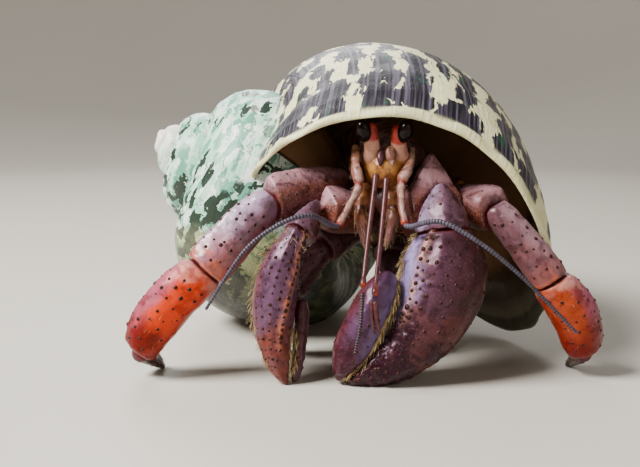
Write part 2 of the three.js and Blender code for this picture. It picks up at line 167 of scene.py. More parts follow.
def read_table(rows: Table, places: Array, column: int) -> Array:
    """Read a table of [place, ...values] rows along a smooth curve through its values.

    Args:
        rows: The table, in rising order of place.
        places: Where to read it.
        column: Which value to read.

    Returns:
        One value for each place.
    """
    x = np.array([row[0] for row in rows])
    y = np.array([row[column] for row in rows])
    slopes = np.diff(y) / np.diff(x)
    product, total = slopes[1:] * slopes[:-1], slopes[1:] + slopes[:-1]
    inner = np.where(product > 0, 2 * product / (total + 1e-12), 0)
    tangents = np.concatenate([[slopes[0]], inner, [slopes[-1]]])
    i = np.clip(np.searchsorted(x, places, side="right") - 1, 0, len(x) - 2)
    step = x[i + 1] - x[i]
    t = np.clip((places - x[i]) / step, 0, 1)
    start = (1 + 2 * t) * (1 - t) ** 2 * y[i] + t * (1 - t) ** 2 * step * tangents[i]
    end = t * t * (3 - 2 * t) * y[i + 1] + t * t * (t - 1) * step * tangents[i + 1]
    return start + end


def along_curve(through: list[Point], places: Array) -> Array:
    """Points at even shares of the length of a smooth curve through a few points.

    Args:
        through: The points that the curve goes through.
        places: Shares of the length, from 0 to 1.

    Returns:
        One point for each share.
    """
    knots = np.array(through, float)
    knots = np.vstack([2 * knots[0] - knots[1], knots, 2 * knots[-1] - knots[-2]])
    times = np.concatenate([[0], np.cumsum(np.sqrt(np.linalg.norm(np.diff(knots, axis=0), axis=1)))])
    fine = []
    for i in range(1, len(knots) - 2):
        t = np.linspace(times[i], times[i + 1], 40, endpoint=i == len(knots) - 3)[:, None]
        level = knots[i - 1 : i + 3]
        marks = times[i - 1 : i + 3]
        for starts, ends in ((marks[:3], marks[1:]), (marks[:2], marks[2:]), (marks[1:2], marks[2:3])):
            spans = zip(level, level[1:], starts, ends)
            level = [((after - t) * p + (t - before) * q) / (after - before) for p, q, before, after in spans]
        fine.append(level[0])
    return even_steps(np.vstack(fine), places)


def even_steps(line: Array, places: Array) -> Array:
    """Points at given shares of the length of a fine line of points.

    Args:
        line: The fine line.
        places: Shares of the length, from 0 to 1.

    Returns:
        One point for each share.
    """
    run = np.concatenate([[0], np.cumsum(np.linalg.norm(np.diff(line, axis=0), axis=1))])
    return np.stack([np.interp(places * run[-1], run, line[:, k]) for k in range(3)], axis=1)


def bent_line(path: list[Point], places: Array) -> Array:
    """Points at shares of the length of a curve pulled from end to end by a middle point.

    Args:
        path: The start, the pulling point and the end.
        places: Shares of the length, from 0 to 1.

    Returns:
        One point for each share.
    """
    a, b, c = (np.array(p, float) for p in path)
    t = np.linspace(0, 1, 200)[:, None]
    return even_steps((1 - t) ** 2 * a + 2 * t * (1 - t) * b + t * t * c, places)


def end_rounding(places: Array, share: float) -> Array:
    """How far a skin is drawn in at its two ends, so that it closes in a round nose.

    Args:
        places: Places from 0 to 1 along the piece.
        share: The part of the length that each nose takes.

    Returns:
        A factor from 0 at each end to 1.
    """
    near = np.clip(np.minimum(places, 1 - places) / share, 0, 1)
    return np.sqrt(np.maximum(1 - (1 - near) ** 2, 0))


def nose_places(steps: int, share: float) -> Array:
    """Places along a piece, closer together in the round noses at its ends.

    Args:
        steps: The number of steps along the middle.
        share: The part of the length that each nose takes.

    Returns:
        Places from near 0 to near 1.
    """
    nose = share * (1 - np.cos(np.linspace(0.12, 1, 7) * math.pi / 2))
    middle = np.linspace(share, 1 - share, steps + 1)[1:-1]
    return np.concatenate([nose, middle, 1 - nose[::-1]])


def linked(name: str, data: bpy.types.ID) -> bpy.types.Object:
    """Put a mesh, lamp or camera into the scene.

    Args:
        name: The object's name.
        data: The mesh, lamp or camera.

    Returns:
        The new object.
    """
    made = bpy.data.objects.new(name, data)
    bpy.context.scene.collection.objects.link(made)
    return made


def mesh_object(name: str, points: Array, faces: list[list[int]], marks: dict[str, Array]) -> bpy.types.Object:
    """Make a smooth mesh with attributes on its points.

    Args:
        name: The object's name.
        points: Its points, in metres.
        faces: Its faces, as numbers of points.
        marks: A number or a vector for each point, by the name of the attribute.

    Returns:
        The new object.
    """
    mesh = bpy.data.meshes.new(name)
    mesh.from_pydata(points.tolist(), [], faces)
    mesh.shade_smooth()
    for label, values in marks.items():
        kind, key = ("FLOAT", "value") if values.ndim == 1 else ("FLOAT_VECTOR", "vector")
        mesh.attributes.new(label, kind, "POINT").data.foreach_set(key, values.astype(np.float32).ravel())
    return linked(name, mesh)


def ring_quads(rings: int, sides: int) -> Array:
    """Join closed rings of points, which are numbered ring by ring.

    Args:
        rings: How many rings there are.
        sides: How many points each ring has.

    Returns:
        The numbers of four points for each quad.
    """
    first = np.arange(rings - 1)[:, None] * sides
    a = (first + np.arange(sides)).ravel()
    b = (first + (np.arange(sides) + 1) % sides).ravel()
    return np.stack([a, b, b + sides, a + sides], axis=1)


# ---- Skins over rings of points -------------------------------------------------------


@dataclass
class Skin:
    """A closed skin over rings of points, with what its finish and its bristles need.

    `rings` holds the points, ring by ring; `lay` gives each point its share along the
    piece, its side and how far up it faces; `joint` is 1 beside a neighbouring plate.
    """

    name: str
    rings: Array
    lay: Array
    marks: dict[str, Array] = field(default_factory=dict)

    def __post_init__(self) -> None:
        """Start with no neighbour."""
        self.joint = np.zeros(self.rings.shape[:2])

    @property
    def along(self) -> Array:
        """Each point's share along the piece."""
        return self.lay[..., 0]

    def away(self, turn: float | Array) -> Array:
        """How far round the piece each point is from an angle, from -0.5 to 0.5 turns."""
        sides = self.rings.shape[1]
        return (np.arange(sides)[None] / sides - turn + 0.5) % 1.0 - 0.5

    @property
    def normals(self) -> Array:
        """The outward direction at each point.

        Returns:
            A unit vector for each point.
        """
        along = np.gradient(self.rings, axis=0)
        around = np.roll(self.rings, -1, axis=1) - np.roll(self.rings, 1, axis=1)
        out = unit(np.cross(around, along))
        middle = self.rings.mean(axis=1, keepdims=True)
        facing = np.einsum("ijk,ijk->ij", out, self.rings - middle).mean()
        return out if facing > 0 else -out

    def push(self, height: Array) -> "Skin":
        """Move the skin outwards by a height in millimetres at each point."""
        self.rings = self.rings + self.normals * height[..., None]
        return self

    def roughen(self, height: float, size: float, octaves: int = 3, seed: float = 0.0) -> "Skin":
        """Give the skin an uneven relief of a height and a width in millimetres."""
        return self.push(height * rumple(self.rings, size, octaves, seed))

    def rest(self) -> "Skin":
        """Press flat on the floor whatever reaches it."""
        self.rings[..., 2] = np.maximum(self.rings[..., 2], 0)
        return self

    def faces(self) -> tuple[Array, list[list[int]]]:
        """Join the rings to a closed skin.

        Returns:
            The points with one more in the middle of each end, and the faces.
        """
        count, sides = self.rings.shape[:2]
        quads = ring_quads(count, sides)
        points = np.vstack([self.rings.reshape(-1, 3), self.rings[0].mean(0), self.rings[-1].mean(0)])
        first, last = count * sides, count * sides + 1
        turn = np.arange(sides)
        after = (turn + 1) % sides
        start = np.stack([np.full(sides, first), after, turn], axis=1)
        end = np.stack([np.full(sides, last), turn + last - 1 - sides, after + last - 1 - sides], axis=1)
        faces = [*quads.tolist(), *start.tolist(), *end.tolist()]
        p = points[quads]
        size = np.einsum("ij,ij->i", p[:, 0], np.cross(p[:, 1], p[:, 2]))
        size += np.einsum("ij,ij->i", p[:, 0], np.cross(p[:, 2], p[:, 3]))
        return points, faces if size.sum() > 0 else [face[::-1] for face in faces]

    def tree(self) -> BVHTree:
        """The skin as a tree that answers which of its points is nearest."""
        points, faces = self.faces()
        return BVHTree.FromPolygons(points.tolist(), faces)

    def distance(self, other: "Skin") -> Array:
        """How far each point is outside another skin.

        Args:
            other: The other skin.

        Returns:
            The distance of each point, below zero where it is inside.
        """
        tree = other.tree()
        out = np.empty(self.rings.shape[:2])
        for i, ring in enumerate(self.rings):
            for j, point in enumerate(ring):
                near, facing, _, far = tree.find_nearest(Vector(point))
                out[i, j] = math.copysign(far, (Vector(point) - near).dot(facing))
        return out

    def fit_round(self, other: "Skin", groove: float = 0.34, width: float = 0.3) -> None:
        """Crease this plate where the next one comes out of it, with a low rim round it.

        Args:
            other: The plate that comes out of this one.
            groove: Depth of the crease in millimetres.
            width: Half width of the crease in millimetres.
        """
        mine = self.distance(other) + 0.2 * rumple(self.rings, 1.2, 2, 3.0)
        theirs = other.distance(self)
        self.push(0.45 * groove * bell(mine, 2.6 * width, width) - groove * bell(mine, 0, width))
        other.push(-0.5 * groove * bell(theirs, 0, width))
        self.joint = np.maximum(self.joint, 1 - smooth(np.abs(mine), 0.5 * width, 1.7 * width))
        other.joint = np.maximum(other.joint, 1 - smooth(np.abs(theirs), 0.4 * width, 1.5 * width))

    def piece(self, finish: bpy.types.Material) -> bpy.types.Object:
        """Make the mesh object, in place and smooth, with its attributes.

        Args:
            finish: Its finish.

        Returns:
            The object.
        """

        def whole(values: Array) -> Array:
            """Values at the points of the rings, and in the middles of the two ends."""
            rows = values.reshape(-1, *values.shape[2:])
            return np.concatenate([rows, values[:1].mean(axis=1), values[-1:].mean(axis=1)])

        points, faces = self.faces()
        marks = {"lay": self.lay, "joint": self.joint, **self.marks}
        made = mesh_object(self.name, to_row(points), faces, {label: whole(mark) for label, mark in marks.items()})
        made.data.materials.append(finish)
        return made

    def at(self, place: Array, turn: Array) -> tuple[Array, Array, Array]:
        """Points on the skin.

        Args:
            place: Shares along the piece.
            turn: Angles round it, in turns.

        Returns:
            The points, their outward directions and the directions along the piece.
        """
        count, sides = self.rings.shape[:2]
        row = np.interp(place, self.along.mean(1), np.arange(count))
        column = (np.asarray(turn) % 1.0) * sides
        i = np.clip(row.astype(int), 0, count - 2)
        j = column.astype(int) % sides
        k = (j + 1) % sides
        s = (row - i)[:, None]
        t = (column - column.astype(int))[:, None]

        def read(grid: Array) -> Array:
            """Read a grid between its points."""
            near = grid[i, j] * (1 - t) + grid[i, k] * t
            far = grid[i + 1, j] * (1 - t) + grid[i + 1, k] * t
            return near * (1 - s) + far * s

        return read(self.rings), unit(read(self.normals)), unit(read(np.gradient(self.rings, axis=0)))


def swept(
    name: str,
    middles: Array,
    sides: Array,
    rises: Array,
    half_widths: Array,
    half_heights: Array,
    places: Array,
    keel: float = 0.0,
    count: int = 48,
) -> Skin:
    """A skin round a line of middles, drawn up into a keel on its upper side.

    Args:
        name: The piece's name.
        middles: The middle of each ring.
        sides: The direction of each ring's width.
        rises: The direction of each ring's height.
        half_widths: Half the width of each ring.
        half_heights: Half the height of each ring.
        places: The share of each ring along the piece.
        keel: How sharp the upper side is, from 0 to 1.
        count: Points round each ring.

    Returns:
        The skin.
    """
    turn = TAU * np.arange(count) / count
    up = np.sin(turn)
    edge = 1 - np.sqrt(np.cos(turn) ** 2 + 0.004)
    ridged = np.where(up > 0, (1 - keel) * up + keel * edge, up)
    rings = (
        middles[:, None]
        + sides[:, None] * (half_widths[:, None] * np.cos(turn))[..., None]
        + rises[:, None] * (half_heights[:, None] * ridged)[..., None]
    )
    lay = np.stack(np.broadcast_arrays(places[:, None], np.cos(turn)[None], up[None]), axis=-1)
    return Skin(name, rings, np.array(lay))


def ring_axes(along: Array, up: Array) -> tuple[Array, Array]:
    """The directions of width and height of rings that stand across a line."""
    side = -unit(np.cross(along, up))
    return side, unit(-np.cross(side, along))


# ---- Laying out nodes -----------------------------------------------------------------

Socket = bpy.types.NodeSocket


class Loom:
    """Adds nodes to a tree and ties them together."""

    def __init__(self, tree: bpy.types.NodeTree) -> None:
        """Work on one tree."""
        self.tree = tree

    def put(self, socket: Socket, value: "Value") -> None:
        """Link a socket, or set its own value.

        Args:
            socket: The socket to feed.
            value: What to link to it, or its own value; a tint may be a colour code.
        """
        if isinstance(value, Wire):
            value = value.socket
        if isinstance(value, bpy.types.NodeSocket):
            self.tree.links.new(value, socket)
        elif isinstance(value, str) and socket.type == "RGBA":
            socket.default_value = (*hue(value), 1.0)
        else:
            socket.default_value = value

    def node(self, kind: str, inputs: "Inputs", **settings: object) -> bpy.types.Node:
        """Add a node.

        Args:
            kind: The type of the node.
            inputs: What goes into its sockets, by name or number.
            **settings: Its other settings.

        Returns:
            The node.
        """
        made = self.tree.nodes.new(kind)
        for key, value in settings.items():
            setattr(made, key, value)
        for key, value in inputs.items():
            self.put(made.inputs[key], value)
        return made

    def take(self, kind: str, output: str | int, inputs: "Inputs", **settings: object) -> Socket:
        """Add a node and take one of its outputs."""
        return self.node(kind, inputs, **settings).outputs[output]


@dataclass(frozen=True)
class Wire:
    """A value that comes out of a shader node, with the usual sums."""

    bench: "Bench"
    socket: Socket

    def __add__(self, other: "Value") -> "Wire":
        """The sum of this and another value."""
        return self.bench.sums("ADD", self, other)

    def __sub__(self, other: "Value") -> "Wire":
        """This value less another."""
        return self.bench.sums("SUBTRACT", self, other)

    def __mul__(self, other: "Value") -> "Wire":
        """The product of this and another value."""
        return self.bench.sums("MULTIPLY", self, other)

    def __abs__(self) -> "Wire":
        """This value without its sign."""
        return self.bench.sums("ABSOLUTE", self)

    def waves(self, width: float) -> "Wire":
        """A wave from -1 to 1 that comes back once in every width."""
        return self.bench.sums("COSINE", self * (TAU / width))


Value = float | str | Socket | Wire
Inputs = dict[str | int, Value]


class Bench(Loom):
    """Lays out the shader nodes of one finish."""

    def __init__(self, name: str) -> None:
        """Start a finish with one surface shader.

        Args:
            name: The finish's name.
        """
        self.material = bpy.data.materials.new(name)
        self.material.use_nodes = True
        super().__init__(self.material.node_tree)
        self.surface = self.tree.nodes["Principled BSDF"]

    def dress(self, **inputs: Value) -> None:
        """Set inputs of the surface shader; underscores stand for spaces."""
        for key, value in inputs.items():
            self.put(self.surface.inputs[key.replace("_", " ")], value)

    def wire(self, kind: str, output: str | int, inputs: Inputs, **settings: object) -> Wire:
        """Add a node and take one of its outputs as a wire."""
        return Wire(self, self.take(kind, output, inputs, **settings))

    def place(self) -> Wire:
        """Places on the piece, in metres."""
        return self.wire("ShaderNodeTexCoord", "Object", {})

    def mark(self, name: str, output: str = "Fac") -> Wire:
        """A named attribute of the mesh."""
        return self.wire("ShaderNodeAttribute", output, {}, attribute_name=name)

    def split(self, vector: Wire) -> list[Wire]:
        """The three parts of a vector."""
        return [Wire(self, part) for part in self.node("ShaderNodeSeparateXYZ", {0: vector}).outputs]

    def join(self, x: Value, y: Value, z: Value) -> Wire:
        """A vector from three parts."""
        return self.wire("ShaderNodeCombineXYZ", 0, {0: x, 1: y, 2: z})

    def sums(self, kind: str, a: Value, b: Value = 0.0) -> Wire:
        """A sum, product or other operation on two numbers."""
        return self.wire("ShaderNodeMath", 0, {0: a, 1: b}, operation=kind)

    def cloud(self, vector: Wire, scale: float, detail: float = 3.0, warp: float = 0.0) -> Wire:
        """Soft uneven shading."""
        inputs = {"Vector": vector, "Scale": scale, "Detail": detail, "Distortion": warp}
        return self.wire("ShaderNodeTexNoise", "Fac", inputs)

    def cells(self, vector: Wire, scale: float) -> Wire:
        """The distance to the nearest of many scattered points."""
        return self.wire("ShaderNodeTexVoronoi", "Distance", {"Vector": vector, "Scale": scale})

    def patch(self, vector: Wire) -> Wire:
        """A number from 0 to 1 that is the same all over each of many scattered patches."""
        return self.split(self.wire("ShaderNodeTexVoronoi", "Color", {"Vector": vector, "Scale": 1.0}))[0]

    def span(self, value: Wire, low: float, high: float, top: float = 1.0) -> Wire:
        """Rise smoothly from 0 to `top` between two numbers."""
        inputs = {"Value": value, "From Min": low, "From Max": high, "To Min": 0.0, "To Max": top}
        return self.wire("ShaderNodeMapRange", "Result", inputs, interpolation_type="SMOOTHSTEP")

    def blend(self, share: Value, under: Value, over: Value, mode: str = "MIX") -> Wire:
        """Lay one colour over another."""
        return self.wire("ShaderNodeMix", 2, {0: share, 6: under, 7: over}, data_type="RGBA", blend_type=mode)

    def layers(self, colour: Value, *layers: tuple[Value, ...]) -> Value:
        """Lay colours over a ground, one after the other.

        Args:
            colour: The ground.
            *layers: The share, the colour and, if it isn't a plain mix, the mode of each.

        Returns:
            The colour on top.
        """
        for share, tint, *mode in layers:
            colour = self.blend(share, colour, tint, *mode)
        return colour

    def bump(self, height: Wire, depth: float) -> Wire:
        """Turn heights into a relief of `depth` metres."""
        return self.wire("ShaderNodeBump", "Normal", {"Height": height, "Distance": depth})


# ---- Finishes -------------------------------------------------------------------------


@dataclass(frozen=True)
class Wash:
    """A tint that comes in along one direction of a limb, with a ragged edge."""

    axis: Axis
    start: float
    end: float
    tint: str
    strength: float = 1.0


@dataclass(frozen=True)
class Chitin:
    """The finish of a hard plate: a ground tint, washes, blotches, granules and pits."""

    name: str
    ground: str
    washes: tuple[Wash, ...] = ()
    blotch: str = "5a3850"
    blotches: float = 0.5
    granule: str = "c9a5b4"
    granules: float = 0.035
    granule_size: float = 0.42
    pits: float = 0.4
    pit: str = "2a1018"
    relief: float = 0.06
    roughness: float = 0.34
    crack: str = "4a0d12"
    ridge: str = "b98a80"
    coat: float = 0.15
    glaze: str = "d2aeba"

    def material(self) -> bpy.types.Material:
        """Build the finish.

        Returns:
            The finish.
        """
        bench = Bench(self.name)
        place = bench.place()
        lay = bench.split(bench.mark("lay", "Vector"))
        broad = bench.cloud(place, 260.0, 4.0, 0.4)
        ragged = (broad - 0.5) * 0.9
        # Washes along the up and side directions are mostly painted highlight on faces towards the lamp and painted
        # shade on the others; washes along a plate are mostly its own colour.
        reaches = [(lay[wash.axis.value] + ragged, wash) for wash in self.washes]
        washes = [(bench.span(reach, wash.start, wash.end, wash.strength), wash.tint) for reach, wash in reaches]
        patchy = bench.span(bench.cloud(place, 620.0, 5.0, 0.7), 0.48, 0.66, self.blotches)
        broken = bench.span(bench.cloud(place, 1100.0, 3.0), 0.4, 0.6, 0.8)
        dots = bench.span(bench.cells(place, 1000 / self.granule_size), 0.42, 0.16, self.granules)
        holes = bench.span(bench.cells(place, 620.0), 0.16, 0.07, self.pits)
        colour = bench.layers(
            self.ground,
            *washes,
            (patchy, self.blotch, "MULTIPLY"),
            (bench.mark("ridge") * (broken + 0.15), self.ridge),
            (dots, self.granule),
            (holes, self.pit),
            (bench.mark("joint"), self.crack),
        )
        height = dots * 1.2 + bench.cloud(place, 1500.0, 4.0) - holes * 1.5
        shine = broad * 0.22 + (self.roughness - 0.1)
        bench.dress(Base_Color=colour, Roughness=shine, Normal=bench.bump(height, self.relief * MM))
        bench.dress(Coat_Weight=self.coat, Coat_Roughness=0.28, Specular_IOR_Level=0.4, Specular_Tint=self.glaze)
        return bench.material


@dataclass(frozen=True)
class TipFinish:
    """The finish of a small thing that changes from its root to its tip."""

    name: str
    stops: tuple[tuple[float, str], ...]
    roughness: float = 0.4
    sheen: float = 0.0
    level: float = 0.22
    shade: str = "b09a90"

    def material(self) -> bpy.types.Material:
        """Build the finish.

        Returns:
            The finish.
        """
        bench = Bench(self.name)
        rise = bench.mark("tip")
        steps = [(bench.span(rise, low, high), tint) for (low, _), (high, tint) in zip(self.stops, self.stops[1:])]
        uneven = bench.span(bench.cloud(bench.place(), 900.0, 3.0), 0.35, 0.7, 0.5)
        colour = bench.layers(self.stops[0][1], *steps, (uneven, self.shade, "MULTIPLY"))
        fine = bench.bump(bench.cloud(bench.place(), 6000.0, 2.0), 0.01 * MM)
        bench.dress(Base_Color=colour, Roughness=self.roughness, Normal=fine)
        bench.dress(Sheen_Weight=self.sheen, Specular_IOR_Level=self.level)
        return bench.material


class ShellFinish:
    """The shell: flames and checks on the last whorl, mint spire, painted shade low down and a mouth painted dark for
    its shade.
    """

    FLAME = "1b181f"
    MINT = "9ed6ba"
    TEAL = "2f8a6e"
    CHECK_GREEN = "1c2f22"
    # The deep inside of the mouth: brown, painted shade of the chamber.
    MOUTH = "96704c"

    def __init__(self) -> None:
        """Read the places on the whorl: how far grown, how far across, and turns back."""
        self.bench = Bench("shell_glaze")
        self.place = self.bench.place()
        self.grown, self.across, self.back = self.bench.split(self.bench.mark("lay", "Vector"))
        self.high = self.bench.split(self.place)[2]
        self.threads = self.bench.cloud(self.drawn(self.grown, self.across, 0.1, 2.3), 1.0, 2.0)

    def drawn(self, g: Wire, s: Wire, along: float, across: float, layer: float = 0.0) -> Wire:
        """Places on the whorl, drawn out along its growth or across it."""
        return self.bench.join(g * along, s * across, layer)

    def material(self) -> bpy.types.Material:
        """Build the finish.

        Returns:
            The finish.
        """
        bench = self.bench
        soft = bench.cloud(self.place, 330.0, 3.0) - 0.5
        crumb = (bench.cloud(self.place, 1300.0, 2.0) - 0.5) * 1.6
        g = self.grown + (self.threads - 0.5) * 2.6 + soft * 3.4
        s = self.across + soft * 2.6
        inside = bench.mark("inside")
        ripples = bench.cloud(self.drawn(self.grown, self.across, 0.2, 0.55), 1.0)
        colour = bench.layers(
            self.last_whorl(g, s),
            (bench.span(self.back, 0.34, 0.66), self.spire(self.grown + crumb + soft * 2.0, self.across + crumb)),
            # The apex turns are painted near-white: a painted highlight on the top of the spire.
            (bench.span(self.back, 2.5, 3.3), "efe9e0"),
            (bench.mark("lip"), bench.blend(ripples, "c2bf7e", "ece8c2")),
            # Everything below 18 mm darkens towards the floor: painted shade of the lower whorls.
            (bench.span(self.high, 0.018, 0.006, 0.92), "382e18", "MULTIPLY"),
            # Inside the mouth: a greyish band just inside the lip, then painted shade of the chamber, dark brown near
            # the lip and lighter brown deeper in.
            (bench.span(inside, 0.01, 0.03), "6c6452"),
            (bench.span(inside, 0.03, 0.16), "402c1a"),
            (bench.span(inside, 0.3, 0.8), self.MOUTH),
        )
        lines = bench.cloud(self.drawn(g, s, 2.2, 0.2), 1.0, 3.0)
        height = self.threads * 1.3 + lines + bench.cloud(self.place, 1500.0, 4.0) * 0.5
        bench.dress(Base_Color=colour, Normal=bench.bump(height, 0.1 * MM), Specular_IOR_Level=0.34)
        bench.dress(Coat_Weight=0.14, Coat_Roughness=0.22, Roughness=bench.span(lines, 0.2, 0.9, 0.3) + 0.28)
        return bench.material

    def last_whorl(self, g: Wire, s: Wire) -> Wire:
        """Cream ground with charcoal flames in bands along the growth lines, broken into checks.

        Args:
            g: How far the whorl has grown, with a frayed edge.
            s: How far across the whorl, with a frayed edge.

        Returns:
            The colour of the last whorl.
        """
        bench = self.bench
        cell = bench.patch(bench.join(g * 0.44, s * 0.34 + bench.span(s, -12.0, 6.0, 2.4), 4.3))
        flames = (s + 17.0).waves(5.0) * (g - 2.5).waves(18.0) * 0.17
        row = bench.span(abs(g - 7.0), 1.7, 0.5, 0.36)
        reach = flames + cell * 0.62 + bench.span(g, 2.6, 0.8, 0.13) - (s + 9.1).waves(3.65) * row
        cream = bench.blend(bench.cloud(self.place, 500.0, 4.0), "f6f2cb", "cfcb8c")
        # The grey threads in the dark flames are partly the growth-line striation and partly painted sheen.
        ashen = bench.blend(bench.span(self.threads, 0.42, 0.68), self.FLAME, "5a5462")
        glint = bench.span(bench.cloud(self.place, 260.0, 3.0, 1.0), 0.6, 0.7, 0.6)
        return bench.blend(bench.span(reach, 0.24, 0.275), cream, bench.blend(glint, ashen, "245a3e"))

    def spire(self, g: Wire, s: Wire) -> Wire:
        """Mint and white mottling with spiral dashes, checked with dark green that thickens underneath, partly as
        painted shade.

        Args:
            g: How far the whorl has grown, with a crumbled edge.
            s: How far across the whorl, with a crumbled edge.

        Returns:
            The colour of the spire.
        """
        bench = self.bench
        soft = bench.span(bench.cloud(self.place, 230.0, 4.0, 0.6), 0.42, 0.6)
        mottle = bench.patch(self.drawn(g, s, 0.85, 1.0, 8.1))
        dash = bench.cloud(self.drawn(g, s, 0.4, 1.8, 5.0), 1.0, 2.0)
        check = bench.patch(self.drawn(g, s, 0.75, 0.9, 3.0))
        streak = bench.cloud(self.drawn(g, s, 1.5, 0.15, 2.2), 1.0, 3.0)
        under = bench.blend(bench.span(streak, 0.45, 0.6), "c3cf98", "74906a")
        return bench.layers(
            bench.blend(soft, "d2ebdc", self.MINT),
            (bench.span(mottle, 0.6, 0.72, 0.75), self.TEAL),
            (bench.span(mottle, 0.27, 0.17, 0.6), "f4f9ee"),
            (bench.span(dash, 0.56, 0.66, 0.75), "3c7464"),
            # The dark green checks thicken below 30 mm, partly pattern and partly painted shade; below about 19 mm a
            # band of olive streaks and dark checks comes in, partly the shell's own streaks and partly painted shade
            # of the underside.
            (bench.span(check + bench.span(self.high, 0.03, 0.0215, 0.42) - 0.84, 0.0, 0.08), self.CHECK_GREEN),
            (bench.span(self.high, 0.0195, 0.016), bench.blend(bench.span(check, 0.6, 0.64, 0.85), under, "2b2c20")),
        )


def cornea_finish() -> bpy.types.Material:
    """The glossy brown-black of the eyes, with fine facets.

    Returns:
        The finish.
    """
    bench = Bench("eye_gloss")
    place = bench.place()
    shade = bench.blend(bench.span(bench.cloud(place, 700.0, 3.0), 0.35, 0.7), "050202", "170a05")
    bench.dress(Base_Color=shade, Roughness=0.14, Normal=bench.bump(bench.cells(place, 9000.0), 0.006 * MM))
    bench.dress(Coat_Weight=0.1, Coat_Roughness=0.05, Specular_IOR_Level=0.1)
    return bench.material


def soft_finish() -> bpy.types.Material:
    """The wrinkled pink-brown skin of the abdomen.

    Returns:
        The finish.
    """
    bench = Bench("abdomen_skin")
    place = bench.place()
    along = bench.join(bench.split(bench.mark("lay", "Vector"))[0], 0.0, 0.0)
    rings = bench.wire("ShaderNodeTexWave", "Fac", {"Vector": along, "Scale": 9.0, "Distortion": 1.5})
    tone = bench.blend(bench.cloud(place, 350.0, 5.0), "8a5548", "c99a83")
    # The skin is darker in the hollows of the wrinkles: painted shade.
    tone = bench.blend(bench.span(rings, 0.7, 0.2, 0.5), tone, "5f332c")
    fine = bench.bump(rings + bench.cloud(place, 1800.0, 4.0), 0.15 * MM)
    bench.dress(Base_Color=tone, Roughness=0.5, Normal=fine, Subsurface_Weight=0.1, Subsurface_Scale=0.002)
    return bench.material


# ---- Small things planted on the skins ------------------------------------------------

PLOTS_ACROSS = 7  # squares of the bake map in a row
PLOT_EDGE = 0.05  # the empty edge of a square, as a share of it
ROOT_CLEAR = 0.3  # least height of a root over the floor, in millimetres
TIP_CLEAR = 0.1  # least height of a tip over the floor, in millimetres
BEAD_LAP = 1.06  # length of a bead as a share of the gap to the next


class Sprig(Enum):
    """The small shapes that stand on a skin or along a feeler."""

    TUBERCLE = "tubercle"
    BRISTLE = "bristle"
    BEAD = "bead"


SPRIG_SIDES = {Sprig.TUBERCLE: 8, Sprig.BRISTLE: 3, Sprig.BEAD: 12}
SPRIG_PROFILES = {
    Sprig.TUBERCLE: ((1.12, -0.25), (0.98, 0.08), (0.7, 0.32), (0.4, 0.5), (0.12, 0.58)),
    Sprig.BRISTLE: ((0.028, -0.08), (0.026, 0.3), (0.018, 0.7), (0.004, 1.0)),
    Sprig.BEAD: ((0.84, -0.52), (0.94, -0.34), (1.0, -0.1), (1.0, 0.14), (0.94, 0.36), (0.84, 0.52)),
}
BRISTLE_BEND = 0.35


def sprig_shape(kind: Sprig) -> bpy.types.Object:
    """Make a small shape with its root at the origin, one long, standing up +Z.

    Args:
        kind: Which shape.

    Returns:
        The object, with a `tip` attribute from 0 at its root to 1 at its tip, and a
        `spot` attribute with its small share of the bake map.
    """
    sides, profile = SPRIG_SIDES[kind], np.array(SPRIG_PROFILES[kind])
    radius, rise = np.repeat(profile, sides, axis=0).T
    angle = np.tile(TAU * np.arange(sides) / sides, len(profile))
    bend = BRISTLE_BEND * rise * rise if kind is Sprig.BRISTLE else 0.0
    points = np.stack([radius * np.cos(angle) + bend, radius * np.sin(angle), rise], axis=1)
    root, top = list(range(sides))[::-1], list(range((len(profile) - 1) * sides, len(points)))
    tips = (rise - rise[0]) / (rise[-1] - rise[0])
    marks = {"tip": tips, "spot": points * (0.4, 0.4, 0.0)}
    return mesh_object(kind.value, points, [*ring_quads(len(profile), sides).tolist(), root, top], marks)


